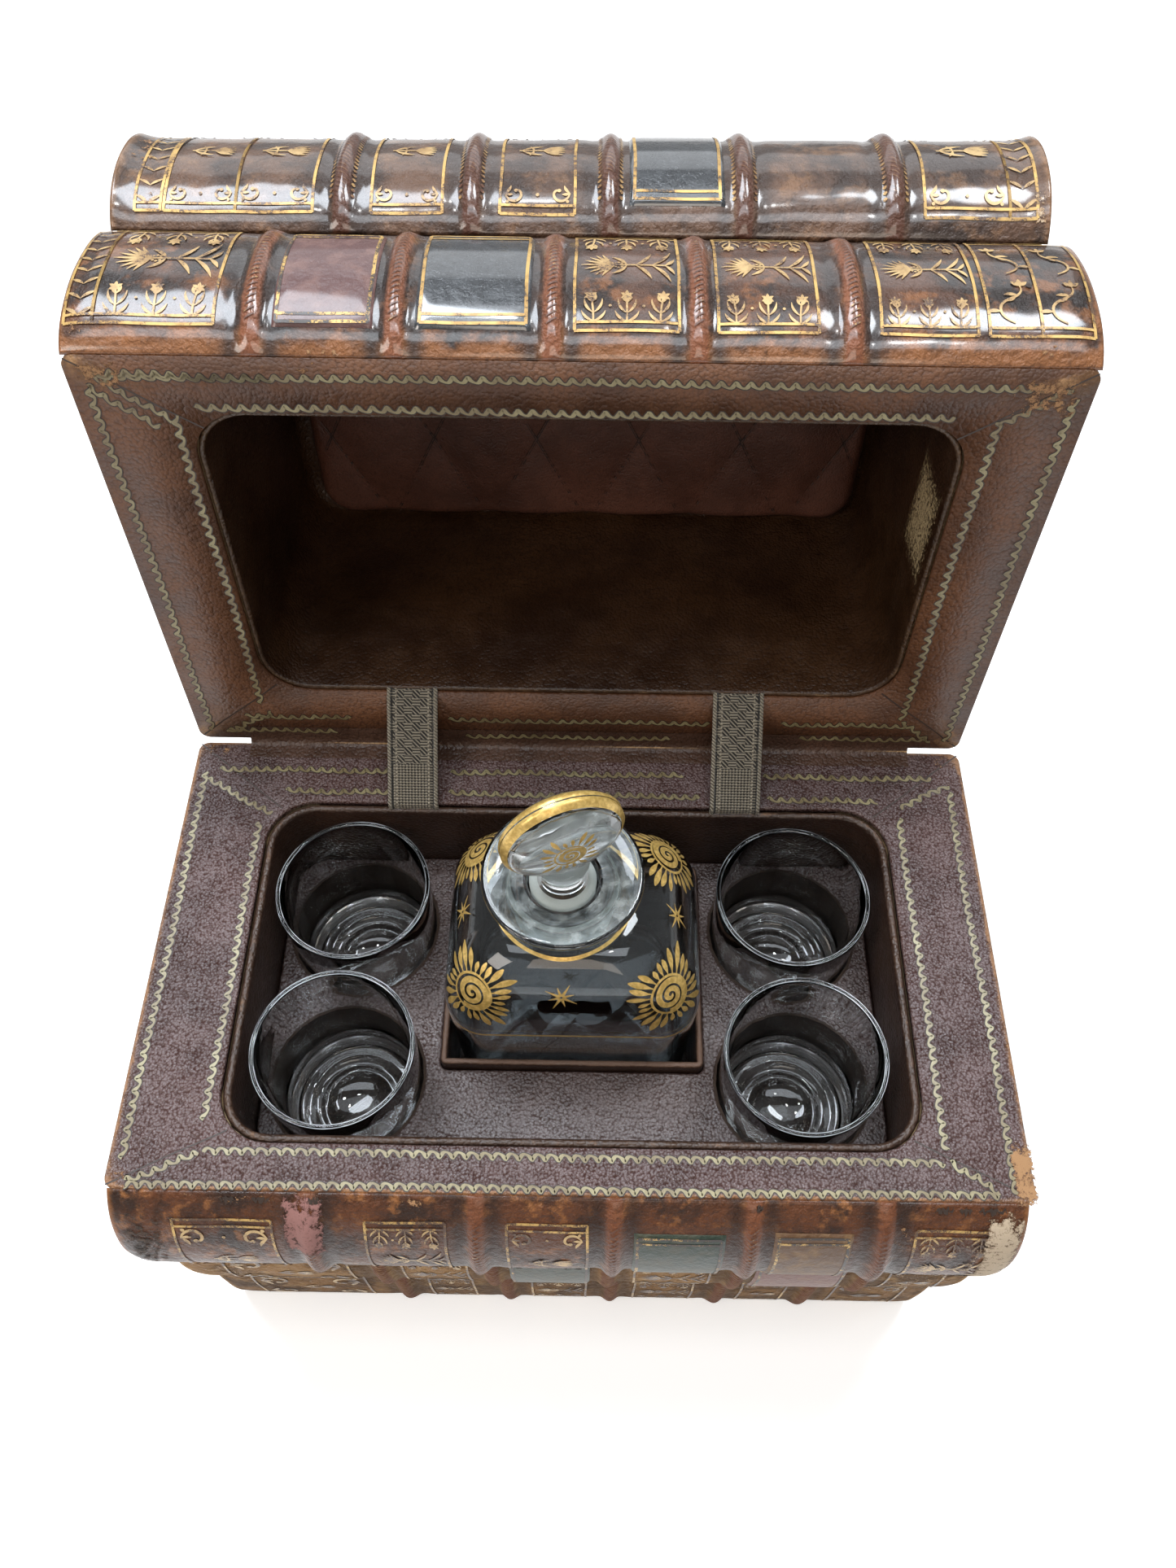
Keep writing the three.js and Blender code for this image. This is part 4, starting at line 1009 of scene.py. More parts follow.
# the cracks along the base's joint and the wormhole are dark foils: painted shade in gaps and a hole that are
# not modelled
cracks = []
joint_height = 55.4
way = np.linspace(0, 1, 15)
for start, end in ((-112, -107), (-102, -96), (-84, -79), (117, 123), (125, 129), (131, 140), (60, 62)):
    jagged = 0.35 * np.sin(way * 23 + start) + 0.3 * np.sin(way * 41 + end)
    line = complex(start, joint_height) * MM + (end - start) * MM * way + 1j * MM * jagged
    cracks.append(stroke(line, (0.9 + 0.5 * np.sin(way * 17 + start)) * MM, 0.7))
foil("joint_crack_shade", cracks, on_back(books["base_top"], 0.1 * MM), "base", tooling_dark_and_gap_shade)
worm = dot(complex(129, 0.42 * books["lid_lower"].thickness / MM) * MM, 1.8 * MM)
foil("wormhole_shade", [worm], on_back(books["lid_lower"], 0.1 * MM), "lid", tooling_dark_and_gap_shade)

# Lining of the base's well: a wall of pasteboard covered in goatskin, which is turned over its
# upper edge. It is glued in behind the rim.
lining_wall = 3 * MM
lip_back = 12 * MM


def lining_levels(plan, wall, mouth, depth, way):
    """From behind the lip, over it and down the inside; way is -1 where the well goes down"""
    lip_highlight = wall / 2
    levels = [(rounded(*plan), mouth + way * lip_back)]
    levels += rolled_edge(plan, lip_highlight, np.linspace(0, math.pi, 9), mouth, way)
    for share in np.linspace(0, 1, 9)[1:]:
        levels.append((rounded(*grown(plan, -wall)), mouth + way * (lip_highlight + (depth - lip_highlight) * share)))
    return levels


def marked(levels, rubs):
    count = len(levels[0][0])
    return {"rub": np.repeat(np.array(rubs, float)[:, None], count, 1)}


umber_goat = goatskin("umber_goatskin", (0.020, 0.010, 0.007), (0.048, 0.024, 0.015), (0.20, 0.11, 0.06),
                      gloss=0.28)
seat_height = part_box("tray_board")[1].z
levels = lining_levels(base_lining_plan, lining_wall, base_lining_top, base_lining_top - seat_height, -1)
rubs = [0.2] + [0.35, 0.45, 0.5, 0.55, 0.6, 0.55, 0.5, 0.3, 0.2] + [0.1] * 8
ring_piece("base_lining_leather", levels, base_place, "base", umber_goat, ["base_lining"],
           marked(levels, rubs), closed=False)

# Tray: a leather-covered floor with a hole for each tumbler and for the decanter's collar, on a
# seat board, with a tube of brown pasteboard below each round hole.
tray_edge = 0.8 * MM


def curve_slab(name, rings, bottom, top, edge, body, finish, stands_for):
    """A plate with holes: the first ring is its outline, and its edges are rounded"""
    line = bpy.data.curves.new(name, "CURVE")
    line.dimensions = "2D"
    line.fill_mode = "BOTH"
    line.extrude = (top - bottom) / 2 - edge
    line.bevel_depth = edge
    line.bevel_resolution = 3
    line.offset = -edge
    for ring in rings:
        spline = line.splines.new("POLY")
        spline.points.add(len(ring) - 1)
        places = np.column_stack([ring, np.zeros(len(ring)), np.ones(len(ring))])
        spline.points.foreach_set("co", places.ravel())
        spline.use_cyclic_u = True
    shape = bpy.data.objects.new(name + "_outline", line)
    bpy.context.scene.collection.objects.link(shape)
    evaluated = shape.evaluated_get(bpy.context.evaluated_depsgraph_get())
    mesh = bpy.data.meshes.new_from_object(evaluated)
    mesh.transform(Matrix.Translation((0, 0, (bottom + top) / 2)))
    bpy.data.objects.remove(shape)
    mesh.materials.clear()
    placed(name, mesh, body, finish, stands_for)


def circle(x, y, radius, count=96):
    turns = np.linspace(0, math.tau, count, endpoint=False)
    return np.stack([x + radius * np.cos(turns), y + radius * np.sin(turns)], 1)


tray_plan, tray_bottom, tray_top = plan_of("tray_floor", base_place, well_corner - 3.6 * MM)
hole_gap = 0.3 * MM
holes = []
for number in range(1, 5):
    low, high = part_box(f"socket_liner_{number}")
    holes.append(circle((low.x + high.x) / 2, (low.y + high.y) / 2, (high.x - low.x) / 2 - 0.6 * MM)[::-1])
collar_plan, collar_foot, collar_top = plan_of("decanter_collar", base_place, 2.4 * MM)
holes.append(rounded(*grown(collar_plan, hole_gap))[::-1])
tray_goat = goatskin("tray_goatskin", (0.040, 0.021, 0.017), (0.085, 0.050, 0.042), (0.25, 0.14, 0.08),
                     grain=950, gloss=0.2, dust_and_sheen=0.2)
curve_slab("tray_floor_leather", [rounded(*tray_plan), *holes], tray_bottom, tray_top, tray_edge, "base",
           tray_goat, ["tray_floor"])
dress(umber_goat, "tray_board")
# the tubes are coloured nearly black: painted shade inside the holes, over the board's own brown
pasteboard_and_shade = two_tone("brown_pasteboard_and_painted_shade", 300, (0.020, 0.011, 0.007), (0.055, 0.030, 0.017), 4,
                      Roughness=0.85)
pasteboard_and_shade.bump(pasteboard_and_shade.noise(1500, 2), 0.2 * MM)
dress(pasteboard_and_shade, *[f"socket_liner_{number}" for number in range(1, 5)])

# Collar: a box of leather-covered board without a lid, which holds the decanter upright. Its
# turned-over edge has worn to a lighter brown.
collar_wall = 2.6 * MM
collar_goat = goatskin("collar_goatskin", (0.022, 0.011, 0.008), (0.050, 0.027, 0.019),
                       (0.15, 0.085, 0.055), gloss=0.28, depth=0.12)
levels = [(rounded(*collar_plan), collar_foot)]
levels += rolled_edge(collar_plan, collar_wall / 2, np.linspace(0, math.pi, 11), collar_top)
levels.append((rounded(*grown(collar_plan, -collar_wall)), collar_foot))
rubs = [0.1] + [0.3, 0.4, 0.6, 0.75, 0.85, 0.9, 0.85, 0.75, 0.6, 0.4, 0.3] + [0.1]
ring_piece("collar_leather", levels, base_place, "base", collar_goat, ["decanter_collar"],
           marked(levels, rubs))

# Lining of the lid: a deep leather hood whose mouth is turned over in a double ridge, with a
# scuffed patch on its right wall.
hood_wall = 2 * MM
ceiling_board = 3 * MM
ceiling_round = 6 * MM
hood_goat = goatskin("hood_goatskin", (0.022, 0.009, 0.004), (0.056, 0.025, 0.010), (0.26, 0.16, 0.08),
                     gloss=0.32)
ceiling = lid_ceiling - ceiling_board
levels = lining_levels(lid_lining_plan, hood_wall, lid_mouth, ceiling - lid_mouth - ceiling_round, 1)
rubs = [0.2] + [0.4, 0.5, 0.6, 0.6, 0.6, 0.55, 0.5, 0.3, 0.2] + [0.1] * 8
levels += rolled_edge(grown(lid_lining_plan, -hood_wall), ceiling_round,
                      np.linspace(0, math.pi / 2, 6)[1:], ceiling)
rubs += [0.05] * 8
left, right, front, back, _ = lid_lining_plan
centre = np.array([(left + right) / 2, (front + back) / 2])
for share in (0.6, 0.2, 0.01):
    levels.append((centre + (levels[-1][0] - centre) * share, ceiling))
ring_piece("lid_lining_leather", levels, open_lid, "lid", hood_goat, ["lid_lining"],
           marked(levels, rubs), closed=False)


def on_right_wall(s, n):
    wall = lid_lining_plan[1] - hood_wall - 0.1 * MM
    return moved(np.stack([np.full_like(s, wall), -s, n], -1), open_lid)


bare_patch("hood_scuff", np.array((76, 124)) * MM, np.array((2, 38)) * MM, on_right_wall, "lid",
           (0.60, 0.46, 0.25), (0.30, 0.20, 0.10), 0.66, 640)

# Quilted pad: thin leather over wadding, sewn through in diamonds to a flat backing and rolled
# under at its edge.
pad_low, pad_high = closed_box("lid_pad", open_lid)
pad_corner = 14 * MM
pad_crown = 2.0 * MM
pad_roll = 5 * MM
crease_step, crease_height = 3.2 * MM, 0.12 * MM
quilt_start = (20.5 * MM, 19 * MM)
diamond = (41 * MM, 82 * MM)
pad_leather = goatskin("pad_goatskin", (0.070, 0.026, 0.016), (0.140, 0.054, 0.034), (0.2, 0.1, 0.06),
                       grain=1300, gloss=0.38, depth=0.12)
pad_middle = (pad_low + pad_high) / 2
pad_half = (pad_high - pad_low) / 2
pad_depth = pad_high[2] - pad_low[2]


def pad_thickness(x, y, inside):
    """Thickness of the pad at a place from its middle, a distance inside its outline"""
    u = (x - quilt_start[0]) / diamond[0] + (y - quilt_start[1]) / diamond[1]
    v = (x - quilt_start[0]) / diamond[0] - (y - quilt_start[1]) / diamond[1]
    puff = np.abs(np.sin(np.pi * u) * np.sin(np.pi * v)) ** 0.5
    roll = np.sqrt(np.clip(1 - (1 - np.clip(inside / pad_roll, 0, 1)) ** 2, 0, 1))
    creases = wavering(x, y, 3, crease_step) * crease_height
    return (pad_depth - pad_crown + pad_crown * puff + creases) * roll


outline = (-pad_half[0], pad_half[0], -pad_half[1], pad_half[1], pad_corner)
rings, heights = [], []
for inside in [0, 0.15, 0.5, 1, 1.6, 2.4, 3.4, 4.6, 6, 7.5, 9, 10.5, 12]:
    ring = rounded(*grown(outline, -inside * MM))
    rings.append(ring)
    heights.append(pad_thickness(ring[:, 0], ring[:, 1], inside * MM))
flat = rings[-1]
for share in np.linspace(1, 0.005, 60)[1:]:
    ring = flat * share
    rings.append(ring)
    heights.append(pad_thickness(ring[:, 0], ring[:, 1], pad_roll))
closed = np.concatenate([np.stack(rings), -np.stack(heights)[..., None]], -1)
closed += [pad_middle[0], pad_middle[1], pad_high[2]]
skin = moved(closed, open_lid)
pad = facing_out(grid_piece("quilted_pad", skin, "lid", pad_leather, "quilt",
                            {"rub": np.zeros(skin.shape[:2])}, ["lid_pad"], round_columns=True))

thread_look = two_tone("dark_thread", 900, (0.05, 0.022, 0.016), (0.12, 0.06, 0.045), Roughness=0.6)
# dark lines along each sewn seam: painted shade in the quilting's grooves
seam_shade = two_tone("painted_seam_shade", 500, (0.012, 0.005, 0.003), (0.030, 0.012, 0.008), Roughness=0.6)
stitch_length, stitch_width, stitch_pitch = 1.9 * MM, 0.55 * MM, 2.9 * MM
seam_shade_width = 1.1 * MM
seam_margin = 4.5 * MM
stitches, seams = [], []


def inside_pad(x, y):
    past = [abs(place) - half + pad_corner for place, half in ((x, pad_half[0]), (y, pad_half[1]))]
    return pad_corner - math.hypot(max(past[0], 0), max(past[1], 0))


for kind in (0, 1):
    turn = math.atan2(diamond[1], diamond[0] if kind else -diamond[0])
    half = stitch_length / 2 * complex(math.cos(turn), math.sin(turn))
    for number in range(-6, 7):
        line = []
        for step in range(-60, 60):
            way = step * stitch_pitch / math.hypot(*diamond) * 2
            u, v = (way, number) if kind else (number, way)
            x = quilt_start[0] + (u + v) * diamond[0] / 2
            y = quilt_start[1] + (u - v) * diamond[1] / 2
            if inside_pad(x, y) > seam_margin:
                line.append(complex(x, y))
                stitches.append(stroke(line[-1] + half * np.linspace(-1, 1, 5), stitch_width, 0.5))
        if len(line) > 3:
            seams.append(stroke(line, seam_shade_width))


def on_pad(x, y, lift=0.2 * MM):
    height = pad_high[2] - pad_thickness(x, y, pad_roll) - lift
    return moved(np.stack([x + pad_middle[0], y + pad_middle[1], height], -1), open_lid)


# the painted shade along the seams, under the stitches
foil("pad_seam_shade", seams, lambda x, y: on_pad(x, y, 0.1 * MM), "lid", seam_shade)
foil("pad_stitches", stitches, on_pad, "lid", thread_look)

# Hinge: the rims' goatskin carried across the joint at the back and glued down on both rims.
# It folds into a crease along the joint, where its dye has rubbed off.
strip = closed_box("hinge_leather", base_place)
base_back = closed_box("base_rim", base_place)[1][1]
lap = 7 * MM
lap_lift = 0.14 * MM
fold_reach = np.array([2.3 * MM, 0])
fold_row, fold_rows = 11, 1.6
strip_columns = 120


def curve(start, corner, end, way):
    """A bend from start to end that heads for the corner between them"""
    return (1 - way) ** 2 * start + 2 * way * (1 - way) * corner + way**2 * end


def on_lid(y, z):
    """A place of the closed lid's YZ plane, counted from the hinge line, on the open one"""
    point = open_lid @ Vector((0, y, z))
    return np.array([point.y, point.z])


hinge_goat = goatskin("hinge_goatskin", (0.040, 0.018, 0.010), (0.085, 0.042, 0.026), (0.42, 0.26, 0.12))
setback = -closed_box("lid_rim", open_lid)[1][1]
start = np.array([base_back - lap, rim_top + lap_lift])
crease = np.array([base_back + 0.3 * MM, rim_top + lap_lift])
finish_point = on_lid(-setback - lap, lid_face - lap_lift)
near = on_lid(-setback - 2 * MM, lid_face - lap_lift)
way = np.linspace(0, 1, 14)[:, None]
before = start + (crease - fold_reach - start) * np.linspace(0, 1, 6)[:-1, None]
bend = curve(crease - fold_reach, crease, near, way)
after = near + (finish_point - near) * np.linspace(0, 1, 6)[1:, None]
line = np.concatenate([before, bend, after])
x = np.linspace(strip[0][0], strip[1][0], strip_columns)
points = np.stack([np.column_stack([np.full(len(line), one), line]) for one in x])
near_fold = np.exp(-(((np.arange(len(line)) - fold_row) / fold_rows) ** 2))
at_fold = near_fold * (0.5 + 0.3 * np.sin(x / (17 * MM)))[:, None]
hinge_strip = grid_piece("hinge_strip", points, None, hinge_goat, "rim_leather", {"rub": at_fold},
                         ["hinge_leather"])
rim_top + 4 * MM
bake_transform(hinge_strip)

# Straps: grey-green webbing with corded edges and a woven block pattern. Each end is glued in
# behind a lining, and the strap stops the lid.
strap_rise = 1.2 * MM
# how fast the threads follow each other, in radians a metre
weft_rate, warp_rate, plain_rate, rope_rate = 5900, 5200, 4300, 3300
figure_length_rate, figure_width_rate, slant_rate = 1020, 1040, 3800


def webbing():
    finish = Finish("woven_webbing", Roughness=0.85, Sheen_Weight=0.15)
    across, along = finish.mark("across"), finish.mark("along")
    weft = finish.math("SINE", along * weft_rate)
    warp = finish.math("SINE", across * warp_rate)
    block = finish.math("SINE", along * figure_length_rate) * finish.math("SINE", across * figure_width_rate)
    raised = finish.ease(block, -0.12, 0.12)
    slanted = finish.math("SINE", (along + across) * slant_rate)
    figured = finish.ease(finish.mark("figured"), 0.4, 0.6)
    side = finish.math("ABSOLUTE", across)
    cord = finish.ease(side, 7.9 * MM, 8.2 * MM)
    ditch = finish.ease(side, 7.2 * MM, 7.5 * MM) * (1 - cord)
    line = finish.ease(side, 5.6 * MM, 5.9 * MM) * (1 - finish.ease(side, 6.3 * MM, 6.6 * MM))
    rope = finish.math("SINE", (along * 1.5 + across * 1.1) * rope_rate)
    pattern = raised * (weft * 0.9 + 0.25) + (1 - raised) * (slanted * 0.8 - 0.35)
    plain = weft * 0.55 + warp * 0.5
    middle = figured * pattern + (1 - figured) * plain
    inner = (1 - line) * middle + line * (0.4 + 0.6 * finish.math("SINE", along * plain_rate))
    height = cord * (rope * 0.7 + 0.5) + (1 - cord) * inner - ditch
    wear = finish.noise(240, 4)
    # the colour follows the weave's height: near black where it lies low, grey-green on its raised threads
    weave_height_colour = finish.mix(finish.ease(height, -0.8, 0.8), (0.016, 0.013, 0.010), (0.36, 0.315, 0.24))
    finish.feed("Base Color", finish.mix(finish.ease(wear, 0.5, 0.8) * 0.3, weave_height_colour, (0.30, 0.27, 0.21)))
    finish.bump(height, 0.4 * MM)
    return finish


web = webbing()
strap_bend = 1.0 * MM
strap_rows, strap_columns = 90, 58
web_half, core_rise = 0.45 * MM, 0.55 * MM
core_width = 2.0 * MM
twist_length, twist_depth = 1.5 * MM, 0.12 * MM
figured_from = 0.42
for side in ("left", "right"):
    low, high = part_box(f"strap_{side}")
    middle, half = (low.x + high.x) / 2, (high.x - low.x) / 2
    tuck = base_lining_plan[3] - 1.2 * MM
    corners = [
        np.array([tuck, base_lining_top - 3 * MM]),
        np.array([tuck, rim_top + 1.2 * MM]),
        on_lid(lid_well[3] + 1.0 * MM, lid_face - strap_rise),
        on_lid(lid_well[3] - 1.4 * MM, lid_face + 2 * MM),
    ]
    line = corners[:1]
    for before, corner, after in zip(corners, corners[1:], corners[2:]):
        into = corner + (before - corner) / np.linalg.norm(before - corner) * strap_bend
        out = corner + (after - corner) / np.linalg.norm(after - corner) * strap_bend
        line.extend(curve(into, corner, out, np.linspace(0, 1, 7)[:, None]))
    line = np.array([*line, corners[-1]])
    steps = np.concatenate([[0], np.cumsum(np.linalg.norm(np.diff(line, axis=0), axis=1))])
    even = np.linspace(0, steps[-1], strap_rows)
    line = np.column_stack([np.interp(even, steps, line[:, k]) for k in (0, 1)])
    ahead = np.gradient(line, axis=0)
    ahead /= np.linalg.norm(ahead, axis=1)[:, None]
    normal = np.column_stack([ahead[:, 1], -ahead[:, 0]])
    across = np.linspace(-half, half, strap_columns)
    corded = np.clip((np.abs(across) - half + core_width) / core_width, 0, 1)
    rise = web_half + core_rise * np.sin(np.pi * corded)
    ring_x = np.concatenate([across, across[::-1]])
    ring_rise = np.concatenate([rise, -rise * 0.9])
    on_cord = np.concatenate([corded > 0, corded[::-1] > 0])
    rope = np.sin(even[:, None] / twist_length * math.tau) * twist_depth * on_cord
    high_by = ring_rise + np.sign(ring_rise) * rope
    points = np.stack([
        middle + ring_x + 0 * high_by,
        line[:, :1] + normal[:, :1] * high_by,
        line[:, 1:] + normal[:, 1:] * high_by,
    ], -1)
    figured = (even > even[-1] * figured_from)[:, None] + 0 * high_by
    marks = {"across": ring_x + 0 * high_by, "along": even[:, None] + 0 * high_by, "figured": figured}
    strap = facing_out(grid_piece(f"webbing_{side}", points, None, web, "webbing", marks,
                                  [f"strap_{side}"], round_columns=True, ends=True))
    rim_top + 2 * MM
    rim_top + 24 * MM
    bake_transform(strap)

# Tumblers: four thin blown glasses on thick pressed feet, which show as rings from above. Each
# stands in a socket of its own, and a faint grey ring of painted highlight lies on its lip.
blown = Finish("clear_glass", Roughness=0.0, IOR=1.5, Transmission_Weight=1.0)
swirls = blown.noise(60, 2)
blown.feed("Base Color", blown.mix(swirls, (0.95, 0.975, 0.985), (0.985, 0.99, 0.99)))
blown.bump(swirls + 0.4 * blown.noise(170, 2), 0.35 * MM, 0.25)
lathe_steps = 96


def turned(profile):
    """Rings of points, from a profile of [radius, height] turned about an upright line"""
    profile = np.asarray(profile, float)
    turns = np.linspace(0, math.tau, lathe_steps, endpoint=False)
    return np.stack([
        profile[:, :1] * np.cos(turns), profile[:, :1] * np.sin(turns), profile[:, 1:] + 0 * turns,
    ], -1)


def lathe(name, profile, middle, body, finish, stands_for=(), turn=None):
    """A turned solid, whose profile starts and ends on the line that it is turned about"""
    rings = turned(profile[1:-1])
    points = np.concatenate([rings.reshape(-1, 3), [[0, 0, profile[0][1]], [0, 0, profile[-1][1]]]])
    faces = grid_faces(*rings.shape[:2], round_columns=True)
    first, last = len(points) - 2, len(points) - 1
    top = first - lathe_steps
    for step in range(lathe_steps):
        following = (step + 1) % lathe_steps
        faces.append((step, first, following))
        faces.append((top + following, last, top + step))
    if turn is not None:
        points = moved(points, turn)
    points = points + np.array(middle)
    return facing_out(mesh_piece(name, points, faces, body, finish, None, stands_for))


def arc(x, z, radius, start, end, count=6):
    turns = np.radians(np.linspace(start, end, count))
    return [(x + radius * math.cos(turn), z + radius * math.sin(turn)) for turn in turns]


# a painted highlight: a faint ring of light grey laid along each lip
painted_lip_highlight = two_tone("painted_glass_lip_highlight", 200, (0.22, 0.24, 0.25), (0.62, 0.66, 0.70),
                      Roughness=0.15, IOR=1.5)
painted_lip_highlight.feed("Alpha", painted_lip_highlight.ease(painted_lip_highlight.noise(55, 3), 0.36, 0.66) * 0.75 + 0.1)
lip_highlight_width = 0.34 * MM
lip_height = 71.75 * MM
tumbler = [(0, 2.6), (6, 2.4), (12, 1.7), (17, 0.7), *arc(22, 1.2, 1.2, 250, 270, 3), *arc(23, 3, 3, -80, 0)]
tumbler += [(26 + 2.5 * share, 3 + 66 * share) for share in (0.2, 0.4, 0.6, 0.8, 1)]
tumbler += arc(27.75, 71.2, 0.75, 0, 180, 9)
tumbler += [(27 - 2.4 * share, 70 - 56 * share) for share in (0.25, 0.5, 0.75, 1)]
tumbler += [
    (24.3, 13.5), (23.8, 11.6), (22.6, 10.2), (21, 9.6), (19.6, 9.9), (18.2, 9.3), (17, 8.3), (14.6, 8.0),
    (13.4, 8.4), (12.2, 8.0), (11, 7.1), (9, 6.5), (6.5, 6.0), (4, 5.7), (0, 5.6),
]
turns = np.linspace(0, math.tau, lathe_steps + 1)
lip_highlight_marks = [(radius * MM * np.exp(1j * turns), np.full(len(turns), lip_highlight_width)) for radius in (27.15, 28.3)]
for number in range(1, 5):
    low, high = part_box(f"glass_{number}")
    middle = ((low.x + high.x) / 2, (low.y + high.y) / 2, low.z)
    body = f"glass_{number}"
    lathe(f"tumbler_{number}", np.array(tumbler) * MM, middle, body, blown, [body])
    foil(f"tumbler_{number}_lip", lip_highlight_marks,
         lambda x, y: np.stack([x, y, 0 * x + lip_height], -1) + middle, body, painted_lip_highlight)

# Decanter: an oblong bottle of clear, faintly blue glass, blown in a mould, and drawn in at the
# shoulder to a round neck with a wide dished lip. Its stopper is a lens on a ground plug.
bluish = Finish("bottle_glass", Roughness=0.0, IOR=1.5, Transmission_Weight=1.0)
waves = bluish.noise(60, 2)
bluish.feed("Base Color", bluish.mix(waves, (0.86, 0.93, 0.97), (0.93, 0.97, 0.99)))
bluish.bump(waves, 0.35 * MM, 0.2)
decanter_low, decanter_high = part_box("decanter")
decanter_middle = np.array([(decanter_low.x + decanter_high.x) / 2, (decanter_low.y + decanter_high.y) / 2])
body_half = (45.5, 36.5)
body_corner, body_draft, body_height, shoulder = 15.5, 1.6, 68, 36
body_wall, body_base, heel = 2.2, 4, 2.4
bore, neck, lip_highlight, dish = 12, 18.5, 27.3, 19.5
neck_height, lip_flare, lip_thickness, dish_depth = 9, 4, 2.4, 4
neck_offset = (-3.5, 0.8)
quarter_points = 22


def bottle_ring(half_x, half_y, corner, height, neck_share):
    ring = []
    for quarter, sign_x, sign_y in ((0, 1, 1), (1, -1, 1), (2, -1, -1), (3, 1, -1)):
        turns = (quarter + (np.arange(quarter_points) + 0.5) / quarter_points) * math.pi / 2
        ring.append(np.stack([
            neck_offset[0] * neck_share + sign_x * (half_x - corner) + corner * np.cos(turns),
            neck_offset[1] * neck_share + sign_y * (half_y - corner) + corner * np.sin(turns),
            np.full(quarter_points, height),
        ], 1))
    return np.concatenate(ring)


def round_ring(radius, height):
    return bottle_ring(radius, radius, radius, height, 1)


def body_ring(drawn, height, corner=body_corner):
    return bottle_ring(body_half[0] - drawn, body_half[1] - drawn, corner, height, 0)


def shoulder_ring(draw, wall=0, lift=0):
    """A level of the shoulder, a quarter of an oval, by how far it is drawn in to the neck"""
    thick = wall + (neck - bore - wall) * draw**5 if wall else -lift
    halves = [a + (neck - a) * draw - thick for a in (*body_half, body_corner)]
    return bottle_ring(*halves, body_height - wall + shoulder * math.sqrt(1 - (1 - draw) ** 2), draw)


def shoulder_rings(wall):
    return [shoulder_ring(1 - math.cos(turn), wall) for turn in np.linspace(0, math.pi / 2, 25)[1:]]


lip_top = body_height + shoulder + neck_height + lip_flare + lip_thickness
foot_levels = [(30, 1.5), (12, 1.2), (heel, 0), (1.4, 0.5), (0.4, 1.5), (0, heel)]
rings = [body_ring(body_draft + drawn, height) for drawn, height in foot_levels]
rings += [body_ring(body_draft * (1 - share), heel + (body_height - heel) * share)
          for share in np.linspace(0.1, 1, 12)]
rings += shoulder_rings(0)
# the lip, by radius and by how far below its top
lip_levels = [(neck, lip_thickness + lip_flare + 3), (neck + 0.6, 6.4), (neck + 3.0, 4.6), (neck + 6.5, 3.2),
              (lip_highlight - 0.7, 2.6)]
lip_levels += [(lip_highlight - 1.1 + 1.1 * math.cos(turn), 1.2 - 1.2 * math.sin(turn))
               for turn in np.linspace(-1.2, 1.5, 8)]
lip_levels += [(25, 0), (dish + 1, 0.2), (dish - 1.2, 1.8), (15.5, 3.4), (bore + 0.8, dish_depth),
               (bore, dish_depth + 0.9)]
rings += [round_ring(radius, lip_top - drop) for radius, drop in lip_levels]
rings += shoulder_rings(body_wall)[::-1]
inner_height = body_height - body_wall - body_base - heel
inner_corner = body_corner - body_wall
inner_levels = [(body_draft * share, body_height - body_wall - inner_height * share, inner_corner)
                for share in np.linspace(0, 1, 8)]
inner_levels += [
    (body_draft + 0.8, body_base + heel / 2, inner_corner),
    (body_draft + heel, body_base, inner_corner),
    (body_draft + 26, body_base - 0.8, inner_corner - 4),
]
rings += [body_ring(body_wall + drawn, height, corner) for drawn, height, corner in inner_levels]
bottle = np.stack(rings) * MM + [*decanter_middle, decanter_low.z]
facing_out(grid_piece("decanter_glass", bottle, "decanter", bluish, "glass", None, ["decanter"],
                      round_columns=True, ends=True))

# Gilding on the glass: suns with a spiral in the middle, thin stars and fillets, painted on with
# a brush in powdered gold and fired.
glass_gold = Finish("fired_gold", Metallic=0.45, Roughness=0.32)
brushing = glass_gold.noise(700, 3)
brushed = glass_gold.ease(brushing, 0.35, 0.7)
glass_gold.feed("Base Color", glass_gold.mix(brushed, (0.58, 0.37, 0.10), (0.86, 0.60, 0.20)))
glass_gold.bump(brushing, 0.1 * MM, 0.6)
tree = BVHTree.FromPolygons(bottle.reshape(-1, 3).tolist(), grid_faces(*bottle.shape[:2], round_columns=True))
spiral_turns = 2.3
gilt_lift = 0.09 * MM
from_outside, from_above = 50 * MM, 12 * MM


def ray_mark(foot, turn, length, width, bend):
    """A brushed ray: thin at its root, broad towards its end, and pointed"""
    way = np.linspace(0, 1, 9)
    swell = np.sin(np.pi * np.clip(way, 0.03, 0.985) ** 1.5) ** 0.7
    return bent_line(foot, turn + bend * way, length), width * np.maximum(swell, 0.2)


def sun_marks(size, rays=25):
    """A sun: a spiral brushed in gold with a thin gap in it, and rays of uneven length"""
    disc = 0.44 * size
    turns = np.linspace(0.5, spiral_turns * math.tau, 120)
    pitch = disc * 0.93 / spiral_turns
    spiral = pitch * turns / math.tau * np.exp(-1j * turns)
    marks = [(spiral, pitch * np.clip(0.55 + 0.3 * turns / turns[-1], 0, 0.84) + 0 * turns)]
    marks.append((disc * np.exp(1j * np.linspace(0, math.tau, 60)), np.full(60, disc * 0.12)))
    for ray in range(rays):
        turn = ray * math.tau / rays
        diagonal = abs(math.sin(2 * turn)) ** 2
        length = size * (0.25 + 0.30 * diagonal + 0.06 * math.sin(ray * 2.4))
        width = size * (0.105 + 0.045 * diagonal)
        foot = disc * 1.06 * np.exp(1j * turn)
        marks.append(ray_mark(foot, turn + 0.1, length, width, 0.3 * math.sin(ray * 1.7)))
    return marks


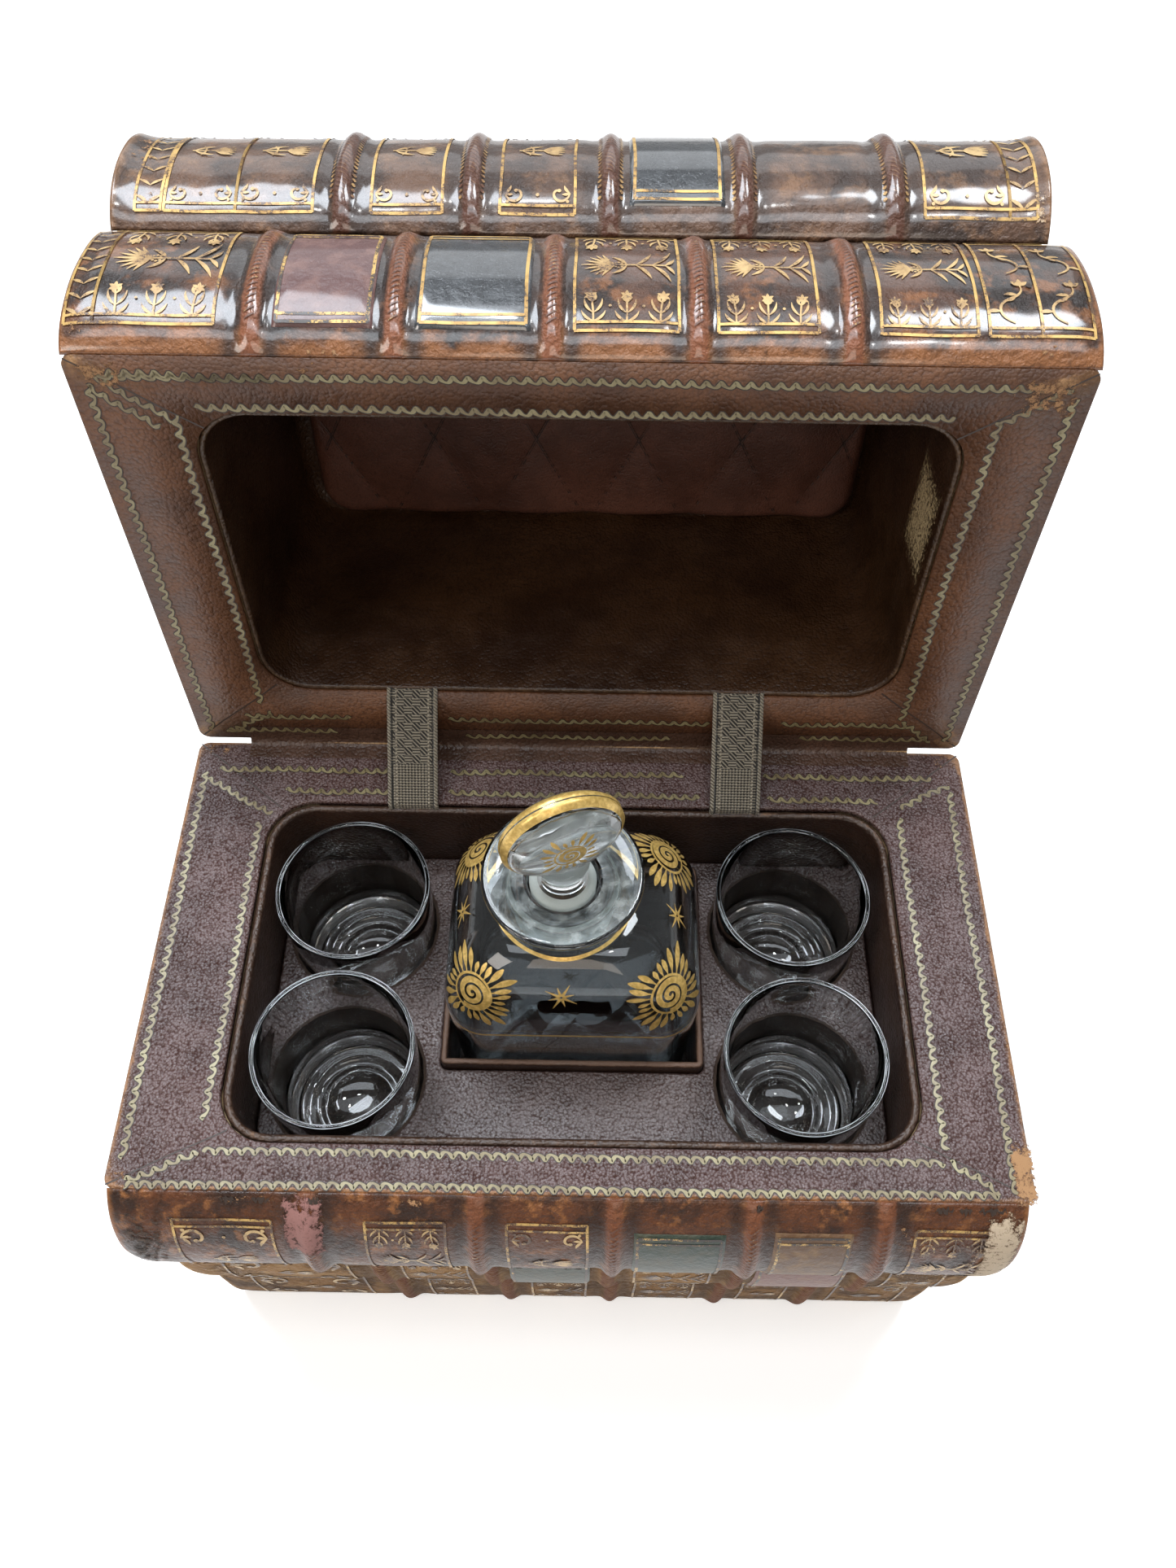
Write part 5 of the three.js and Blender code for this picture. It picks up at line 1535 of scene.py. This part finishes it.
def star_marks(size, points=8):
    marks = []
    for point in range(points):
        way = np.exp(1j * (point * math.tau / points + 0.3))
        length = size * (1.0 if point % 2 else 0.72)
        middle = 0.08 * size * way + length * way * np.linspace(0, 1, 6)
        marks.append((middle, 0.24 * size * (1 - np.linspace(0, 0.9, 6))))
    return marks


def on_glass(place, outward):
    """Places round a point of the bottle, in the plane that its outward direction faces"""
    hit, normal, _, _ = tree.ray_cast(place + outward * from_outside, -outward)
    across = Vector((0, 0, 1)).cross(normal).normalized()
    up = normal.cross(across)

    def surface(x, y):
        made = []
        for one, other in zip(x.ravel(), y.ravel()):
            start = hit + across * one + up * other + normal * from_above
            found, facing, _, _ = tree.ray_cast(start, -normal)
            if found is None:
                found, facing, _, _ = tree.find_nearest(start)
            if facing.dot(normal) < 0:
                facing = -facing
            made.append(found + facing * gilt_lift)
        return np.array(made)
    return surface


sun_size, star_size, lens_sun_size = 16 * MM, 5.6 * MM, 11.5 * MM
sun_out, star_height = 33.5 * MM, 92 * MM
sun_places = [(side, y, height) for side in (-1, 1) for y, height in ((-22.2, 89), (28.5, 95.5))]
for number, (side, y, height) in enumerate(sun_places, 1):
    place = Vector((decanter_middle[0] + side * sun_out, y * MM, decanter_low.z + height * MM))
    outward = Vector((side * 0.5, -0.6 if y < 0 else 0.45, 0.65)).normalized()
    foil(f"gilt_sun_{number}", sun_marks(sun_size), on_glass(place, outward), "decanter", glass_gold)
star_places = [
    (-37.5, 5.5, (-0.7, 0, 0.7)), (34, 5, (0.6, 0, 0.8)),
    (-4, -25.5, (0, -0.75, 0.65)), (-4, 40, (0, 0.75, 0.65)),
]
for number, (x, y, outward) in enumerate(star_places, 1):
    place = Vector((x * MM, y * MM, decanter_low.z + star_height))
    foil(f"gilt_star_{number}", star_marks(star_size), on_glass(place, Vector(outward).normalized()),
         "decanter", glass_gold)


def band_piece(name, ring_function, levels, finish):
    """A thin band round the glass, over a few (size, height) levels"""
    rings = np.stack([ring_function(*level) for level in levels]) * MM + [*decanter_middle, decanter_low.z]
    grid_piece(name, rings, "decanter", finish, round_columns=True)


band_piece("gilt_body_fillet", body_ring, [(-0.07, 66.4), (-0.09, 67.6)], glass_gold)
neck_middle = decanter_middle + np.array(neck_offset) * MM
above_shoulder = decanter_low.z + (body_height + shoulder + 4) * MM
neck_rings = turned([(radius * MM, 0) for radius in (23.2, 23.8, 24.4)]) + [*neck_middle, above_shoulder]
for ring in neck_rings:
    for point in ring:
        found, facing, _, _ = tree.ray_cast(Vector(point), Vector((0, 0, -1)))
        point[:] = found + facing * (0.1 * MM if facing.z > 0 else -0.1 * MM)
grid_piece("gilt_neck_fillet", neck_rings, "decanter", glass_gold, round_columns=True)
# a milky grey skin on the lip's dish and on the lens: painted reflection of bright surroundings
painted_glass_reflection = Finish("painted_reflection_glass_skin", Roughness=0.2)
reflection_patches = painted_glass_reflection.noise(160, 4, 0.6)
painted_glass_reflection.feed("Base Color", painted_glass_reflection.mix(reflection_patches, (0.42, 0.50, 0.49), (0.80, 0.86, 0.86)))
painted_glass_reflection.feed("Alpha", painted_glass_reflection.ease(reflection_patches, 0.35, 0.75) * 0.42 + 0.06)
dish_levels = [
    (bore + 1.4, lip_top - dish_depth + 0.15), (15.5, lip_top - 3.3), (dish - 1.2, lip_top - 1.7),
    (dish + 1, lip_top - 0.12), (25, lip_top + 0.08), (lip_highlight - 1.1, lip_top + 0.08),
]
band_piece("lip_painted_reflection", round_ring, dish_levels, painted_glass_reflection)
band_piece("gilt_lip_fillet", round_ring, [(lip_highlight - 0.35, lip_top - 2.45), (lip_highlight + 0.03, lip_top - 1.9)],
           glass_gold)

# Stopper: the lens stands upright on the plug, turned a little, with two broad gilt bands on its
# edge and a sun on its front face.
stopper_low, stopper_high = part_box("stopper")
disc_radius, disc_half, disc_rim = 20.5, 8.2, 1.5
disc_turn = 20.4
lens_lift = 0.08
disc_middle = np.array([*neck_middle, stopper_high.z - disc_radius * MM])
ground = Finish("ground_glass", IOR=1.5, Transmission_Weight=0.55, Specular_IOR_Level=0.4)
frosting = ground.noise(1500, 3, 0.7)
ground.feed("Base Color", ground.mix(frosting, (0.66, 0.74, 0.70), (0.86, 0.92, 0.90)))
ground.feed("Roughness", 0.45 + 0.2 * frosting)
ground.bump(frosting, 0.15 * MM)
bulge = curve(np.array([disc_radius, disc_rim]), np.array([disc_radius * 0.74, disc_half]),
              np.array([0, disc_half]), np.linspace(0, 1, 14)[:, None])
lens = np.concatenate([bulge[::-1] * [1, -1], bulge]) * MM
facing = Matrix.Rotation(math.radians(disc_turn), 4, "Z") @ Matrix.Rotation(math.pi / 2, 4, "X")
disc = lathe("stopper_disc", lens, disc_middle, "stopper", blown, turn=facing)
plug = [(0, 0), (9.5, 0), (10.6, 0.4), (11, 1.2), (11.4, 11), (11.1, 12.2), (9.4, 12.8), (0, 12.8)]
plug_middle = (*neck_middle, stopper_low.z)
lathe("stopper_plug", np.array(plug) * MM, plug_middle, "stopper", ground)
stem_top = (disc_middle[2] - stopper_low.z) / MM - disc_radius + 1.4
stem = [(0, 12.84), (8.4, 12.84), (8.6, 13.2), (7.6, 15), (7.4, 16.5), (8.2, stem_top), (9, stem_top + 2),
        (0, stem_top + 2)]
stem = lathe("stopper_stem", np.array(stem) * MM, plug_middle, "stopper", blown)
fused = disc.modifiers.new("fused", "BOOLEAN")
fused.operation = "UNION"
fused.solver = "EXACT"
fused.object = stem
bpy.context.view_layer.update()
disc.data = bpy.data.meshes.new_from_object(disc.evaluated_get(bpy.context.evaluated_depsgraph_get()))
disc.modifiers.clear()
disc.data.shade_smooth()
bpy.data.objects.remove(stem)
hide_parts("stopper")
for side, low, high in (("front", -3.2, -0.25), ("back", 0.25, 3.2)):
    heights = np.linspace(low, high, 6)
    radii = np.interp(np.abs(heights), bulge[:, 1], bulge[:, 0]) + lens_lift
    band = moved(turned(np.stack([radii, heights], 1) * MM), facing) + disc_middle
    grid_piece(f"gilt_edge_band_{side}", band, "stopper", glass_gold, round_columns=True)


def on_lens(way):
    """Places on the lens's front, where way is 1, or on its back, where it is -1"""
    def surface(x, y):
        radius = np.hypot(x, y) / MM
        height = (np.interp(radius, bulge[::-1, 0], bulge[::-1, 1]) + lens_lift) * MM
        return moved(np.stack([x, y, way * height], -1), facing) + disc_middle
    return surface


# the same painted reflection on both faces of the lens
reflection_rings = turned([(radius * MM, 0) for radius in (0.3, 4, 8, 12, 15, 17.5)])
for name, way in (("front", 1), ("back", -1)):
    skin = on_lens(way)(reflection_rings[..., 0], reflection_rings[..., 1])
    grid_piece(f"lens_haze_{name}", skin, "stopper", painted_glass_reflection, round_columns=True)
foil("gilt_lens_sun", sun_marks(lens_sun_size, 18), on_lens(1), "stopper", glass_gold)

# Studio: a pale floor and a white surround that the camera, the glass and the polish see, with
# soft lamps above.
floor_finish = Finish("pale_floor", Roughness=0.9, Base_Color=(0.9, 0.9, 0.9, 1))
white = (1, 1, 1, 1)


def ray_kinds(nodes):
    """Numbers that are 1 for rays from the camera, from a polished face and through glass"""
    return [nodes.value("LightPath", f"Is {kind} Ray") for kind in ("Camera", "Glossy", "Transmission")]


def glowing(strength):
    return floor_finish.value("Emission", 0, {"Color": white, "Strength": strength})


camera_ray, glossy_ray, glass_ray = ray_kinds(floor_finish)
seen = floor_finish.math("MAXIMUM", floor_finish.math("MAXIMUM", camera_ray, glossy_ray), glass_ray)
away = floor_finish.vector("LENGTH", floor_finish.place)
plain = Value(floor_finish, floor_finish.shader.outputs[0])
lit = floor_finish.value("AddShader", 0, {0: plain, 1: glowing(0.45)})
faded = floor_finish.value("MixShader", 0, {0: floor_finish.ease(away, 0.45, 1.5), 1: lit, 2: glowing(1)})
shown = floor_finish.value("MixShader", 0, {0: seen, 1: plain, 2: faded})
floor_finish.tree.links.new(shown.socket, floor_finish.tree.nodes["Material Output"].inputs["Surface"])
floor_size, floor_drop = 4, 0.5 * MM
corners = np.array([(-1, -1, 0), (1, -1, 0), (1, 1, 0), (-1, 1, 0)]) * floor_size - [0, 0, floor_drop]
mesh_piece("floor", corners, [(0, 1, 2, 3)], None, floor_finish)

world = bpy.data.worlds.new("white_room")
bpy.context.scene.world = world
world.use_nodes = True
sky = Nodes(world.node_tree)
camera_ray, glossy_ray, glass_ray = ray_kinds(sky)
strength = sky.math("MAXIMUM", camera_ray, 0.13 + 0.15 * glossy_ray + 0.04 * glass_ray)
background = sky.tree.nodes["Background"]
background.inputs["Color"].default_value = white
sky.tree.links.new(strength.socket, background.inputs["Strength"])


def lamp(name, place, aim, size, power, colour=(1, 1, 1), through_glass=False):
    light = bpy.data.lights.new(name, "AREA")
    light.shape = "RECTANGLE"
    light.size, light.size_y = size
    light.energy = power
    light.color = colour
    made = bpy.data.objects.new(name, light)
    made.location = place
    made.rotation_euler = (Vector(aim) - Vector(place)).to_track_quat("-Z", "Y").to_euler()
    made.visible_transmission = through_glass
    bpy.context.scene.collection.objects.link(made)


lamp("left_ceiling_panel", (-0.5, 0.6, 1.6), (0, 0, 0.2), (0.62, 0.62), 16, (0.84, 0.91, 1))
lamp("ceiling_panel", (-0.05, 0.5, 1.63), (0, 0, 0.2), (1.5, 0.5), 4, (0.88, 0.94, 1), True)
lamp("right_ceiling_panel", (0.54, 0.56, 1.6), (0, 0, 0.2), (0.4, 0.4), 9.5, (0.88, 0.94, 1))
lamp("overhead_strip", (0, -0.15, 1.68), (0, 0, 0.2), (1.5, 0.3), 6.5, (0.86, 0.93, 1))
lamp("back_wall_panel", (0, 1.8, 1.2), (0, 0.1, 0.25), (2.2, 0.8), 7, (0.92, 0.96, 1), True)
lamp("front_panel", (0.15, -1.1, 1.35), (0, 0.1, 0.2), (0.7, 0.7), 5, (1, 0.87, 0.74))
lamp("left_front_panel", (-0.9, -0.6, 1.2), (0, 0.1, 0.2), (0.5, 0.5), 6, (1, 0.92, 0.84))
for number, (x, y) in enumerate(((-0.12, 0.5), (0.16, 0.28), (-0.3, 0.2), (0.45, -0.1)), 1):
    lamp(f"ceiling_spot_{number}", (x, y, 1.75), (0, 0, 0.2), (0.06, 0.06), 0.7)

# Camera: the phone that took the photograph, held above the case and in front of it. Its place
# and lens were worked out from both rims and the tumblers' mouths.
photo_height = 1927
focal_pixels = 1480.3
pitch, roll, yaw = (math.radians(angle) for angle in (58.063, 0.731, -0.200))
eye = Vector((4.642, -178.263, 567.932)) * MM
lens_data = bpy.data.cameras.new("photo_camera")
lens_data.sensor_fit = "AUTO"
lens_data.sensor_width = 36
lens_data.lens = focal_pixels / photo_height * lens_data.sensor_width
lens_data.clip_start = 0.01
camera = bpy.data.objects.new("photo_camera", lens_data)
upright = Matrix.Rotation(-yaw, 4, "Z") @ Matrix.Rotation(math.pi / 2 - pitch, 4, "X")
camera.matrix_world = Matrix.Translation(eye) @ upright @ Matrix.Rotation(roll, 4, "Z")
bpy.context.scene.collection.objects.link(camera)
bpy.context.scene.camera = camera
bpy.context.scene.view_settings.view_transform = "Standard"
